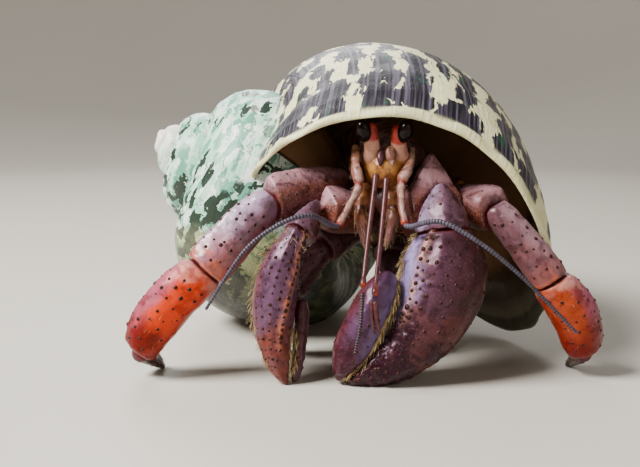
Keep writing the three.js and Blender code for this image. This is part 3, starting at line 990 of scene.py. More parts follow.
@dataclass
class Bed:
    """Roots for small things: rows of places, stands, leans, sizes and bake patches."""

    MARKS = ("stand", "lean", "size", "patch")

    roots: list[tuple[Array, ...]] = field(default_factory=list)

    def cover(
        self,
        skin: Skin,
        plot: int,
        place: Array,
        turn: Array,
        size: Array,
        stand: float = 1.0,
        along: float = 0.0,
        across: float = 0.0,
    ) -> None:
        """Plant roots on a skin, except where they would reach the floor.

        Args:
            skin: The skin to plant on.
            plot: Which square of the bake map the skin's roots take.
            place: Shares along the skin.
            turn: Angles round it, in turns.
            size: The size of each small thing, in millimetres.
            stand: How far each stands out.
            along: How far each lies along the skin.
            across: How far each lies round the skin.
        """
        points, out, run = skin.at(place, turn)
        ahead = np.cross(out, run)
        stands = unit(stand * out + along * run + across * ahead)
        sizes = np.repeat(np.asarray(size, float)[:, None], 3, axis=1)
        inner = 1 - 2 * PLOT_EDGE
        column = (plot % PLOTS_ACROSS + PLOT_EDGE + inner * place) / PLOTS_ACROSS
        row = (plot // PLOTS_ACROSS + PLOT_EDGE + inner * (turn % 1.0)) / PLOTS_ACROSS
        tips = points + 1.5 * stands * sizes
        clear = (points[:, 2] > ROOT_CLEAR) & (tips[:, 2] > TIP_CLEAR)
        rows = (points, stands, unit(run + 0.01 * ahead), sizes, np.stack([column, row, place * 0], axis=1))
        self.roots.append(tuple(values[clear] for values in rows))

    def grow(self, name: str, kind: Sprig, finish: bpy.types.Material, seed: int, jitter: float) -> bpy.types.Object:
        """Stand a small shape on every root and make the whole one plain mesh.

        Args:
            name: The piece's name.
            kind: The small shape.
            finish: Its finish.
            seed: Fixes the random sizes.
            jitter: How much the sizes vary.

        Returns:
            The finished piece.
        """
        shape = sprig_shape(kind)
        points, *marks = (np.vstack(rows) for rows in zip(*self.roots))
        made = mesh_object(name, to_row(points), [], dict(zip(self.MARKS, marks)))
        made.data.name = f"{name}_roots"
        tree = planting_tree()
        modifier = made.modifiers.new("planting", "NODES")
        modifier.node_group = tree
        values = {"Shape": shape, "Unit": MM, "Jitter": jitter, "Seed": seed, "Patch": 0.003, "Finish": finish}
        for item in tree.interface.items_tree:
            if item.item_type == "SOCKET" and item.in_out == "INPUT" and item.name in values:
                modifier[item.identifier] = values[item.name]
        grown = bpy.data.meshes.new_from_object(made.evaluated_get(bpy.context.evaluated_depsgraph_get()))
        grown.name = name
        made.modifiers.clear()
        made.data = grown
        for label in (*self.MARKS, "spot"):
            if label in grown.attributes:
                grown.attributes.remove(grown.attributes[label])
        bpy.data.objects.remove(shape)
        return made


PLANTING_INPUTS = {
    "Roots": "Geometry",
    "Shape": "Object",
    "Unit": "Float",
    "Jitter": "Float",
    "Seed": "Int",
    "Patch": "Float",
    "Finish": "Material",
}


def planting_tree() -> bpy.types.NodeTree:
    """The node tree that stands a shape on every root, makes it real and gives its finish.

    Returns:
        The tree, which is built once and then shared.
    """
    found = bpy.data.node_groups.get("planting")
    if found:
        return found
    tree = bpy.data.node_groups.new("planting", "GeometryNodeTree")
    for name, kind in PLANTING_INPUTS.items():
        tree.interface.new_socket(name, in_out="INPUT", socket_type=f"NodeSocket{kind}")
    tree.interface.new_socket("Grown", in_out="OUTPUT", socket_type="NodeSocketGeometry")
    loom = Loom(tree)
    take = loom.take
    given = loom.node("NodeGroupInput", {}).outputs

    def mark(name: str) -> Socket:
        """Read a named vector."""
        return take("GeometryNodeInputNamedAttribute", "Attribute", {"Name": name}, data_type="FLOAT_VECTOR")

    def maths(kind: str, a: Socket | float, b: Socket) -> Socket:
        """A sum or product of two numbers."""
        return take("ShaderNodeMath", 0, {0: a, 1: b}, operation=kind)

    def scaled(vector: Socket, factor: Socket) -> Socket:
        """A vector times a number."""
        return take("ShaderNodeVectorMath", 0, {0: vector, "Scale": factor}, operation="SCALE")

    aim = "FunctionNodeAlignRotationToVector"
    stand = take(aim, "Rotation", {"Vector": mark("stand")}, axis="Z")
    lean = take(aim, "Rotation", {"Rotation": stand, "Vector": mark("lean")}, axis="X", pivot_axis="Z")
    low, top = (maths(kind, 1.0, given["Jitter"]) for kind in ("SUBTRACT", "ADD"))
    vary = take("FunctionNodeRandomValue", 1, {2: low, 3: top, "Seed": given["Seed"]}, data_type="FLOAT")
    size = scaled(mark("size"), maths("MULTIPLY", vary, given["Unit"]))
    shape = take("GeometryNodeObjectInfo", "Geometry", {"Object": given["Shape"]}, transform_space="ORIGINAL")
    plants = {"Points": given["Roots"], "Instance": shape, "Rotation": lean, "Scale": size}
    stood = take("GeometryNodeInstanceOnPoints", "Instances", plants)
    real = take("GeometryNodeRealizeInstances", "Geometry", {"Geometry": stood})
    spot = scaled(mark("spot"), given["Patch"])
    where = take("ShaderNodeVectorMath", 0, {0: mark("patch"), 1: spot}, operation="ADD")
    chart = {"Name": "OFBake", "Geometry": real, "Value": where}
    mapped = take("GeometryNodeStoreNamedAttribute", "Geometry", chart, data_type="FLOAT2", domain="CORNER")
    painted = take("GeometryNodeSetMaterial", "Geometry", {"Geometry": mapped, "Material": given["Finish"]})
    loom.node("NodeGroupOutput", {"Grown": painted})
    return tree


def hand_over(piece: bpy.types.Object, slot: Slot, *nodes: str) -> bpy.types.Object:
    """Tie a finished piece to the frame.

    Args:
        piece: The finished piece.
        slot: The material slot for its finish; not used.
        *nodes: The solids that it stands for.

    Returns:
        The piece.
    """
    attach(piece, "root")
    if nodes:
        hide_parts(*nodes)
    LOG.info("%s: %d faces, for %s", piece.name, len(piece.data.polygons), ", ".join(nodes) or "no solid")
    return piece


# ---- The shell ------------------------------------------------------------------------


@dataclass
class TurbanShell:
    """A right-handed shell: each whorl is an ellipse that grows every turn along the axis."""

    apex: Point = (-27.0, 29.8, 31.9)
    axis_yaw: float = -0.1
    axis_dip: float = 0.473
    coil_radius: float = 18.2
    growth: float = 2.117
    drop: float = 2.194
    half_width: float = 0.91
    half_height: float = 1.239
    tilt: float = 0.034
    lip_angle: float = 1.476
    lip_skew: float = 0.058
    lip_slant: float = -0.555
    turns: float = 4.4
    chamber_turns: float = 0.72
    wall: float = 1.3
    lip_wall: float = 0.75
    flare: float = 0.05
    flare_turns: float = 0.07
    base_swell: float = 0.36
    spire_swell: float = 0.07
    columella: float = 0.13
    floor_cut: float = 0.2
    sides: int = 120
    steps_per_turn: int = 110

    def axes(self) -> tuple[Array, Array, Array]:
        """The coil's axis, and the two directions across it.

        Returns:
            Three unit vectors.
        """
        dip, yaw = self.axis_dip, self.axis_yaw
        axis = np.array([math.cos(dip) * math.cos(yaw), -math.cos(dip) * math.sin(yaw), -math.sin(dip)])
        up = unit(np.array([0, 0, 1.0]) - axis * axis[2])
        return axis, up, np.cross(axis, up)

    def size(self, coil: Array) -> Array:
        """The distance from the axis to the middle of the whorl."""
        return self.coil_radius * self.growth ** ((coil - self.lip_angle) / TAU)

    def middle(self, coil: float) -> Array:
        """The middle of the whorl.

        Args:
            coil: A coil angle.

        Returns:
            The point, in modelling millimetres.
        """
        axis, up, side = self.axes()
        size = self.size(coil)
        return np.array(self.apex) + size * (up * math.cos(coil) + side * math.sin(coil) + axis * self.drop)

    def wall_points(self, coil: Array, turn: Array, inset: Array) -> Array:
        """Points of the whorl's skin.

        Args:
            coil: Coil angles.
            turn: Angles round the section.
            inset: How far inside the outer skin, in millimetres.

        Returns:
            The points, in modelling millimetres.
        """
        axis, up, side = self.axes()
        size = self.size(coil)
        back = (self.lip_angle - coil) / TAU
        opened = 1 + self.flare * (1 - smooth(back, 0, self.flare_turns))
        swell = np.where(np.sin(turn) > 0, self.base_swell * smooth(back, 0.35, 0.68), 0)
        full = opened + self.spire_swell * smooth(back, 0.8, 1.2)
        across = (self.half_width * full - inset / size) * np.cos(turn)
        down = (self.half_height * opened * (1 + swell) - inset / size) * np.sin(turn)
        out = across * math.cos(self.tilt) - down * math.sin(self.tilt)
        low = across * math.sin(self.tilt) + down * math.cos(self.tilt)
        angle = coil + self.lip_skew * low + self.lip_slant * out
        reach = (size * (1 + out))[..., None]
        return (
            np.array(self.apex)
            + up * reach * np.cos(angle)[..., None]
            + side * reach * np.sin(angle)[..., None]
            + axis * (size * (self.drop + low))[..., None]
        )

    def relief(self, coil: Array, turn: Array, lip: Array) -> Array:
        """How far the outer skin sinks below the true outline.

        Args:
            coil: Coil angles.
            turn: Angles round the section.
            lip: 1 at the lip, and 0 away from it.

        Returns:
            Depths in millimetres.
        """
        size = self.size(coil)
        back = (self.lip_angle - coil) / TAU
        cords = 0.05 * size / self.coil_radius * np.cos(turn * 22) * (0.4 + smooth(back, 0.7, 1.1))
        grown = self.grown(coil)
        rugae = 0.07 * np.sin(grown * 2.1 + 1.3 * np.sin(grown * 0.37) + 0.6 * np.sin(turn * 3))
        ripple = 0.3 * lip * np.sin(turn * 16 + 0.8 * np.sin(turn * 5))
        return cords + rugae * (1 - lip) + ripple

    def grown(self, coil: Array) -> Array:
        """How far the whorl has grown since a coil angle, in millimetres."""
        back = (self.lip_angle - coil) / TAU
        return self.coil_radius * TAU / math.log(self.growth) * (1 - self.growth**-back)

    def skin(self) -> Skin:
        """The outer skin from the apex to the lip, round the lip, and back into the chamber.

        Returns:
            The skin, with its `inside` and `lip` marks.
        """
        first = self.lip_angle - self.turns * TAU
        steps = int(self.turns * self.steps_per_turn)
        turn = math.pi + TAU * np.arange(self.sides) / self.sides
        signed = np.arange(self.sides) / self.sides * TAU - math.pi
        outer = np.linspace(first, self.lip_angle, steps)
        outer = np.concatenate([outer[:-3], np.linspace(outer[-3], outer[-1], 12)])
        steps = len(outer)
        fold = np.linspace(0, math.pi, 9)[1:-1]
        inner = np.linspace(self.lip_angle, self.lip_angle - self.chamber_turns * TAU, 80)
        round_lip = self.lip_angle + 0.5 * self.lip_wall / self.coil_radius * np.sin(fold)
        coil = np.concatenate([outer, round_lip, inner])
        back = (self.lip_angle - inner) / TAU
        thick = self.lip_wall + (self.wall - self.lip_wall) * smooth(back, 0, self.flare_turns)
        nose = 1 - end_rounding((outer - first) / (outer[-1] - first), 0.012)
        tip = nose * self.size(outer) * 0.8 * (outer < first + 0.5)
        inset = np.concatenate([tip, 0.5 * self.lip_wall * (1 - np.cos(fold)), thick])
        outside = np.concatenate([np.ones(steps), 0.5 + 0.5 * np.cos(fold), np.zeros(len(inner))])
        edge = 1 - smooth(self.grown(outer), 0.02, 0.22)
        lip = np.concatenate([edge, np.ones(len(fold)), 1 - smooth(back, 0, 0.02)])
        grid = np.broadcast_to(coil[:, None], (len(coil), self.sides))
        around = np.broadcast_to(turn[None], grid.shape)
        carve = self.relief(grid, around, lip[:, None]) * outside[:, None] + inset[:, None]
        rings = self.wall_points(grid, around, np.maximum(carve, -0.1))
        rings[..., 2] = np.maximum(rings[..., 2] - self.floor_cut, 0)
        arc = signed[None] * self.size(grid)
        lay = np.stack([self.grown(grid), arc, (self.lip_angle - grid) / TAU], axis=-1)
        made = Skin("shell_whorls", rings, lay)
        depth = np.concatenate([np.zeros(steps + len(fold)), smooth(back, 0.0, 0.16)])
        made.marks["inside"] = np.array(np.broadcast_to(depth[:, None], grid.shape))
        made.marks["lip"] = np.array(np.broadcast_to(lip[:, None], grid.shape))
        self.line_mouth(made, steps, len(fold))
        return made

    def line_mouth(self, made: Skin, steps: int, fold: int) -> None:
        """Mark as inside the earlier whorls' wall where it bulges into the chamber.

        Args:
            made: The shell's skin.
            steps: How many of its rings are outer ones.
            fold: How many of its rings go round the lip.
        """
        chamber = Skin("chamber", made.rings[steps + fold :], made.lay[steps + fold :])
        tree = chamber.tree()
        backs = made.lay[:steps, 0, 2]
        for i in np.flatnonzero((backs > 0.97) & (backs < 1.75)):
            for j in range(self.sides):
                point = Vector(made.rings[i, j])
                near, facing, _, _ = tree.find_nearest(point)
                depth = (point - near).dot(facing)
                made.marks["inside"][i, j] = 1 - float(smooth(depth, -0.2, 0.25))

    def pillar(self) -> Skin:
        """The pillar on the axis, seen where the base is open.

        Returns:
            The skin, marked as inside the shell.
        """
        axis, up, side = self.axes()
        places = nose_places(30, 0.04)
        length = self.coil_radius * self.drop * 0.72
        middles = np.array(self.apex) + axis * (1.5 + places[:, None] * (length - 1.5))
        middles[:, 2] -= self.floor_cut
        radii = self.coil_radius * self.columella * (0.1 + 0.9 * places) * end_rounding(places, 0.04)
        ones = np.ones((len(places), 1))
        made = swept("shell_pillar", middles, side * ones, up * ones, radii, radii, places)
        made.lay[..., 2] = 0.5
        made.marks["inside"] = np.full(made.joint.shape, 0.6)
        made.marks["lip"] = np.zeros(made.joint.shape)
        return made

    def build(self) -> None:
        """Make and dress the shell and its pillar."""
        finish = ShellFinish().material()
        hand_over(self.skin().piece(finish), Slot.SHELL, "shell")
        hand_over(self.pillar().piece(finish), Slot.SHELL)


# ---- Limbs ----------------------------------------------------------------------------

MERUS = [(0, 0.5, 0.5), (0.15, 0.76, 0.78), (0.5, 0.94, 0.95), (0.85, 1, 1), (1, 0.84, 0.86)]
CARPUS = [(0, 0.6, 0.62), (0.12, 0.78, 0.8), (0.45, 0.94, 0.94), (0.85, 1, 1), (1, 0.88, 0.88)]
WRIST = [(0, 0.14, 0.3), (0.25, 0.5, 0.62), (0.6, 0.86, 0.92), (1, 1, 1)]
PROPODUS = [(0, 0.74, 0.74), (0.12, 0.92, 0.92), (0.42, 1, 1), (0.75, 0.95, 0.94), (0.93, 0.8, 0.78), (1, 0.55, 0.55)]
DACTYL = [(0, 0.62, 0.62), (0.14, 0.98, 0.96), (0.4, 0.9, 0.88), (0.75, 0.52, 0.52), (1, 0.24, 0.24)]
TRUNK = [(0, 0.5, 0.5), (0.08, 0.78, 0.8), (0.35, 1, 1), (0.75, 1, 1), (0.95, 0.86, 0.86), (1, 0.6, 0.6)]
SCALE = [(0, 0.8, 0.8), (0.5, 1, 1), (1, 0.25, 0.5)]
HOLD_LEG = [(0, 1.25), (0.28, 1.35), (0.36, 1.05), (0.6, 1.25), (0.7, 0.95), (1, 0.85)]
MOUTH_LIMB = [(0, 1.1), (0.3, 1.1), (0.42, 0.8), (0.5, 0.92), (0.8, 0.62), (1, 0.36)]
EYE_STALK = [(0, 1.4), (0.22, 1.36), (0.45, 1.1), (0.7, 0.98), (0.88, 0.86), (1, 0.6)]
SHORT_ROD = [(0, 0.5), (0.15, 0.38), (0.9, 0.3), (0.97, 0.44), (1, 0.32)]
LONG_STEM = [
    (0, 0.5), (0.16, 0.6), (0.26, 0.56), (0.36, 0.78), (0.45, 0.76), (0.5, 0.5),
    (0.56, 0.62), (0.66, 0.5), (0.88, 0.42), (0.96, 0.5), (1, 0.42),
]  # fmt: skip
TIP_ROD = [(0, 0.4), (0.5, 0.36), (1, 0.2)]
TIP_BRANCH = [(0, 0.26), (1, 0.15)]
ABDOMEN = [(0, 4.4), (0.5, 3.4), (1, 1.8)]


@dataclass
class Segment:
    """A straight or bowed limb segment between two joints."""

    name: str
    start: Point
    end: Point
    up: Point
    section: Table
    width: float
    height: float
    bow: float = 0.0
    keel: float = 0.0
    reach: float = 0.0
    nose: float = 0.035
    steps: int = 60
    count: int = 64

    def skin(self) -> Skin:
        """Make the segment's skin.

        Returns:
            The skin.
        """
        start, end = np.array(self.start, float), np.array(self.end, float)
        length = np.linalg.norm(end - start)
        along = (end - start) / length
        side, rise = ring_axes(along, np.array(self.up))
        places = nose_places(self.steps, self.nose)
        run = places * length + (places * 2 - 1) * self.reach
        middles = start + along * run[:, None] + rise * (self.bow * np.sin(math.pi * places))[:, None]
        nose = end_rounding(places, self.nose)
        wide = (self.width * read_table(self.section, places, 1) + self.reach) * nose
        tall = (self.height * read_table(self.section, places, 2) + self.reach) * nose
        ones = np.ones((len(places), 1))
        return swept(self.name, middles, side * ones, rise * ones, wide, tall, places, self.keel, self.count)


@dataclass
class Finger:
    """A claw's palm or finger, swept along a bent line."""

    name: str
    path: list[Point]
    up: Point
    table: Table
    keel: float = 0.0
    nose: float = 0.035
    steps: int = 90
    count: int = 88

    def skin(self) -> Skin:
        """Make the finger's skin.

        Returns:
            The skin.
        """
        places = nose_places(self.steps, self.nose)
        middles = bent_line(self.path, places)
        along = unit(np.gradient(middles, axis=0))
        side, rise = ring_axes(along, np.array(self.up))
        nose = end_rounding(places, self.nose)
        wide = read_table(self.table, places, 1) * nose
        tall = read_table(self.table, places, 2) * nose
        return swept(self.name, middles, side, rise, wide, tall, places, self.keel, self.count)


@dataclass
class Feeler:
    """A round feeler through a few points, with a radius table of [share, radius] rows."""

    name: str
    through: list[Point]
    radii: Table
    nose: float = 0.04
    steps: int = 60
    count: int = 24

    def skin(self) -> Skin:
        """Make the feeler's skin.

        Returns:
            The skin.
        """
        places = nose_places(self.steps, self.nose)
        middles = along_curve(self.through, places)
        along = unit(np.gradient(middles, axis=0))
        side = [unit(np.cross(along[0], [0.3, -0.9, 0.2]))]
        for step in along[1:]:
            side.append(unit(side[-1] - step * np.dot(side[-1], step)))
        side = np.array(side)
        rise = unit(np.cross(side, along))
        radius = read_table(self.radii, places, 1) * end_rounding(places, self.nose)
        return swept(self.name, middles, side, rise, radius, radius, places, 0.0, self.count)


def round_body(name: str, centre: Point, along: Point, half: Point, count: int = 40, rows: int = 36) -> Skin:
    """An egg-shaped skin whose long axis runs along a direction.

    Args:
        name: The piece's name.
        centre: Its middle.
        along: The direction of its long axis.
        half: Half its length, width and height.
        count: Points round it.
        rows: Rings along it.

    Returns:
        The skin.
    """
    axis = unit(np.array(along, float))
    side = unit(np.cross(axis, [0, 0, 1.0]))
    rise = unit(np.cross(side, axis))
    turn = np.linspace(0.03, 0.97, rows) * math.pi
    places = 0.5 - 0.5 * np.cos(turn)
    middles = np.array(centre) - axis * (half[0] * np.cos(turn))[:, None]
    ones = np.ones((rows, 1))
    wide, tall = half[1] * np.sin(turn), half[2] * np.sin(turn)
    return swept(name, middles, side * ones, rise * ones, wide, tall, places, 0.0, count)


LILAC = Chitin(
    "lilac_crust",
    "6a4656",
    (
        # The pale lilac top is painted highlight and the dark red-brown underside painted shade; the coral towards the
        # far end is its own.
        Wash(Axis.UP, 0.15, 0.9, "a48ca6", 0.85),
        Wash(Axis.UP, 0.0, -0.9, "6c3128", 0.85),
        Wash(Axis.ALONG, 0.5, 0.95, "9c5450", 0.7),
        Wash(Axis.ALONG, 0.86, 1.0, "c25a34", 0.75),
    ),
    blotch="6a4a58",
    blotches=0.6,
    coat=0.9,
)
WRISTS = Chitin(
    "wrist_crust",
    "573b49",
    # The pale lilac side is painted highlight on the lit side, the dark brown side painted shade.
    (Wash(Axis.SIDE, -0.2, -0.9, "8d7c98", 0.7), Wash(Axis.SIDE, 0.3, 0.95, "4a2828", 0.8)),
    blotch="6a4a58",
    blotches=0.6,
)
MERAL = Chitin(
    "meral_crust",
    "6e4848",
    (
        # The pale pink top is painted highlight; the dark brown underside and inner side are painted shade.
        Wash(Axis.UP, 0.3, 0.95, "9f757c", 0.85),
        Wash(Axis.UP, 0.0, -0.6, "5a2816", 0.95),
        Wash(Axis.SIDE, 0.5, 1.0, "5a2a18", 0.75),
    ),
    blotches=0.7,
    granule="b38f98",
    granules=0.2,
    granule_size=0.36,
    relief=0.08,
    roughness=0.4,
)
PALM = Chitin(
    "palm_crust",
    "452a36",
    (
        # The lilac left face is painted highlight and the dark right face painted shade; the faint orange-brown patch
        # is the palm's own; the dark lower palm is painted shade.
        Wash(Axis.SIDE, -0.3, -0.8, "9384b6", 0.9),
        Wash(Axis.SIDE, 0.05, 0.8, "321411", 0.92),
        Wash(Axis.ALONG, 0.4, 0.5, "6c3826", 0.26),
        Wash(Axis.ALONG, 0.52, 0.68, "230c16", 0.96),
    ),
    blotch="6e4a56",
    blotches=0.6,
    pits=0.55,
    roughness=0.3,
    coat=0.12,
    glaze="b88aa0",
)
THUMB = replace(
    PALM,
    name="finger_crust",
    ground="483048",
    washes=(
        Wash(Axis.UP, 0.2, -0.7, "341a24", 0.8),
        Wash(Axis.SIDE, 0.3, 0.95, "6a5a86", 0.7),
        Wash(Axis.SIDE, -0.1, -0.9, "4c181a", 0.85),
        Wash(Axis.ALONG, 0.5, 0.85, "380c16", 0.92),
    ),
    pits=0.5,
    coat=0.15,
)
EDGED = replace(
    PALM,
    name="small_palm_crust",
    ground="583c52",
    washes=(
        Wash(Axis.SIDE, 0.5, 0.95, "46303a", 0.85),
        Wash(Axis.SIDE, -0.5, -0.95, "6b3b34", 0.6),
        Wash(Axis.ALONG, 0.55, 0.9, "6b2f14", 0.85),
    ),
    blotches=0.55,
    pits=0.5,
    ridge="b56a44",
    coat=0.15,
)
CORAL = Chitin(
    "leg_coral",
    "d2380c",
    (
        # The mauve top is partly the propodus's own dorsal purple and partly painted highlight; the dark red underside
        # is painted shade; the deep red far end and pale near end are its own.
        Wash(Axis.UP, 0.4, 0.95, "8f5068", 0.85),
        Wash(Axis.UP, -0.2, -0.9, "7c1c0c", 0.75),
        Wash(Axis.ALONG, 0.5, 0.84, "620806", 0.95),
        Wash(Axis.ALONG, 0.14, 0.0, "b98478", 0.6),
    ),
    blotch="b0604c",
    blotches=0.6,
    granule="e08a66",
    roughness=0.34,
    coat=0.08,
    glaze="e08068",
)
# A shaded copy of the lilac crust for the leg on the shaded side: a darker ground as painted shade, with a lighter top
# as painted highlight.
SHADED_LILAC = replace(
    LILAC,
    name="dusk_crust",
    ground="5a3a40",
    washes=(
        Wash(Axis.UP, 0.15, 0.9, "8c6c74", 0.85),
        Wash(Axis.ALONG, 0.45, 0.9, "7a4038", 0.75),
        *LILAC.washes[3:],
    ),
    coat=0.2,
)
# A shaded copy of the coral with a darker ground, painted shade for the propodi on the shaded side and under the
# shell.
SHADED_CORAL = replace(CORAL, name="leg_ember", ground="9a3a1c")
CLAWTIP = Chitin(
    "leg_tip",
    "3c2028",
    (Wash(Axis.ALONG, 0.2, 0.9, "180b0e", 0.9), Wash(Axis.ALONG, 0.25, 0.0, "6c201a", 0.8)),
)
# Dark brown, partly painted shade: on the hind legs and the right eye scale it stands for the shade under the shell;
# the small claw's finger takes it too. The darker underside is painted shade.
UMBER = Chitin(
    "hind_leg_crust",
    "43262a",
    (Wash(Axis.UP, 0.0, -0.8, "4c2416", 0.9),),
    blotches=0.6,
)
CREAM = Chitin(
    "head_cream",
    "7c4e42",
    (
        # The pale top is painted highlight and the dark brown underside painted shade.
        Wash(Axis.UP, 0.5, 1.0, "b49286", 0.7),
        Wash(Axis.UP, 0.1, -0.8, "6c3420", 0.85),
        Wash(Axis.ALONG, 0.3, 0.05, "8c6440", 0.7),
    ),
    blotch="845040",
    blotches=0.8,
    granule="d8b8a4",
    pits=0.2,
    relief=0.03,
    crack="7c1c0e",
    ridge="9c2c10",
)
STALK = Chitin(
    "eye_stalk",
    "b0806c",
    (
        Wash(Axis.ALONG, 0.3, 0.0, "a06a34", 0.8),
        Wash(Axis.ALONG, 0.56, 0.72, "8a1e08", 0.95),
        Wash(Axis.SIDE, 0.3, 1.0, "80402f", 0.5),
    ),
    blotch="8a4a38",
    blotches=0.5,
    pits=0.1,
    relief=0.02,
    roughness=0.3,
)
PINK = Chitin(
    "feeler_pink",
    "54302f",
    # The orange tip is its own; the darker side is painted shade.
    (Wash(Axis.ALONG, 0.955, 0.985, "a83c16", 0.95), Wash(Axis.SIDE, 0.0, 1.0, "341a1e", 0.8)),
    blotch="6e4048",
    pits=0.1,
    relief=0.02,
    roughness=0.25,
    coat=0.15,
    glaze="c09090",
)
AMBER = Chitin(
    "mouth_amber",
    "a06c34",
    # The light top is painted highlight and the darker underside painted shade.
    (Wash(Axis.UP, 0.2, 1.0, "bc8c50", 0.6), Wash(Axis.UP, -0.2, -0.9, "7c4420", 0.6)),
    blotch="743c1c",
    blotches=0.65,
    granule="cf9a60",
    pits=0.2,
    crack="3a0e08",
)
MOUTHLIMB = Chitin(
    "mouth_limb",
    "8c5834",
    (Wash(Axis.ALONG, 0.35, 0.85, "6c4448", 0.9), Wash(Axis.SIDE, 0.2, 1.0, "56302a", 0.6)),
    blotch=AMBER.blotch,
    blotches=0.6,
    pits=0.2,
    crack=AMBER.crack,
)
# Dark brown, partly painted shade for the shaded space under the head between the claws; the darker underside is
# painted shade.
CHEST = Chitin(
    "chest_brown",
    "4f2c20",
    (Wash(Axis.UP, 0.0, -0.9, "3c1f16", 0.8),),
    blotch="5c2c1c",
    blotches=0.6,
    pits=0.2,
)
GOLDEN = TipFinish("golden_setae", ((0.0, "5c4018"), (0.3, "a8843e"), (1.0, "e6d09a")), 0.45, 0.3)
DARK_SETAE = TipFinish("dark_setae", ((0.0, "24140e"), (0.6, "52321f"), (1.0, "8a6844")), 0.45)
PALE_SETAE = TipFinish("pale_setae", ((0.0, "8c7464"), (1.0, "e6dccb")), 0.4)
TUBERCLES = TipFinish("tubercle_tips", ((0.1, "84463c"), (0.45, "4a1f1a"), (0.78, "260e0c")), 0.42)
BEADS = TipFinish("feeler_rings", ((0.0, "1c1a22"), (0.3, "45404e"), (0.6, "5e5868"), (1.0, "24212a")), 0.36)
DARK_BEADS = TipFinish(
    "dark_rings", ((0.0, "181014"), (0.35, "33232a"), (0.55, "6e6066"), (0.8, "241a1e")), 0.3
)


@dataclass
class Garden:
    """The beds of tubercles and bristles that stand on all the limbs."""

    tubercles: Bed = field(default_factory=Bed)
    golden: Bed = field(default_factory=Bed)
    dark: Bed = field(default_factory=Bed)
    pale: Bed = field(default_factory=Bed)
    plots: int = 0

    def plot(self) -> int:
        """Take the next square of the bake map."""
        self.plots += 1
        return self.plots - 1

    def build(self) -> None:
        """Grow every bed into one mesh."""
        beds = (
            (self.tubercles, Sprig.TUBERCLE, TUBERCLES, "tubercles", Slot.CRUST, 0.25),
            (self.golden, Sprig.BRISTLE, GOLDEN, "golden_setae", Slot.MOUTH, 0.3),
            (self.dark, Sprig.BRISTLE, DARK_SETAE, "dark_setae", Slot.CRUST, 0.3),
            (self.pale, Sprig.BRISTLE, PALE_SETAE, "pale_setae", Slot.HEAD, 0.3),
        )
        for seed, (bed, kind, finish, name, slot, jitter) in enumerate(beds, start=1):
            hand_over(bed.grow(name, kind, finish.material(), seed, jitter), slot)


@dataclass(frozen=True)
class Crest:
    """A line of tubercles along a plate, which may stand on a raised and tinted ridge."""

    first: float
    last: float
    turns: tuple[float, float]
    count: int
    size: float
    rise: float = 0.0
    spread: float = 0.022

    def shape(self, skin: Skin) -> None:
        """Raise and mark the ridge on a plate.

        Args:
            skin: The plate.
        """
        share = np.clip((skin.along - self.first) / (self.last - self.first), 0, 1)
        line = self.turns[0] + (self.turns[1] - self.turns[0]) * share
        ends = plateau(skin.along, self.first - 0.05, self.first + 0.04, self.last - 0.08, self.last + 0.05)
        ridge = ends * bell(skin.away(line), 0, self.spread)
        skin.push(self.rise * ridge)
        skin.marks["ridge"] = np.maximum(skin.marks.get("ridge", 0 * ridge), 0.85 * ridge * (self.rise > 0))

    def plant(self, garden: Garden, skin: Skin, plot: int, seed: int) -> None:
        """Set the tubercles.

        Args:
            garden: The beds.
            skin: The plate.
            plot: Its square of the bake map.
            seed: Fixes their jitter.
        """
        rng = np.random.default_rng(seed)
        share = (np.arange(self.count) + 0.5) / self.count + rng.normal(0, 0.12 / self.count, self.count)
        place = self.first + (self.last - self.first) * share
        turn = self.turns[0] + (self.turns[1] - self.turns[0]) * share + rng.normal(0, 0.003, self.count)
        garden.tubercles.cover(skin, plot, place, turn, self.size * rng.uniform(0.75, 1.15, self.count))


@dataclass(frozen=True)
class Brush:
    """A thick growth of bristles over a stretch of a claw's palm or finger."""

    finger: bool
    count: int
    ends: Ends
    size: float
    lean: Point


STUDS_MISSING = 0.16  # the share of places in a row that stay bare
TUFTS = 4  # ways in which the bristles of one growth lean
TUFT_SPREAD = 0.22


def studs(garden: Garden, skin: Skin, plot: int, rows: int, gap: float, size: float, seed: int, ends: Ends) -> None:
    """Set tubercles on a plate in staggered rows round its upper side.

    Args:
        garden: The beds.
        skin: The plate.
        plot: Its square of the bake map.
        rows: How many rows there are round the upper side.
        gap: The distance between tubercles, in millimetres.
        size: Their size in millimetres.
        seed: Fixes their jitter.
        ends: The first and last share along the plate, and the first and last turn.
    """
    rng = np.random.default_rng(seed)
    first, last, low, high = ends
    length = np.linalg.norm(np.diff(skin.rings.mean(1), axis=0), axis=1).sum()
    count = max(3, int(length * (last - first) / gap))
    for row in range(rows):
        place = first + (last - first) * (np.arange(count) + 0.5 * (row % 2) + 0.25) / count
        place = np.clip(place + rng.normal(0, 0.16 / count, count), 0.02, 0.98)
        turn = low + (high - low) * (row + 0.5) / rows + rng.normal(0, 0.008, count)
        keep = rng.random(count) > STUDS_MISSING
        sizes = size * rng.uniform(0.65, 1.2, count)
        garden.tubercles.cover(skin, plot, place[keep], turn[keep], sizes[keep])


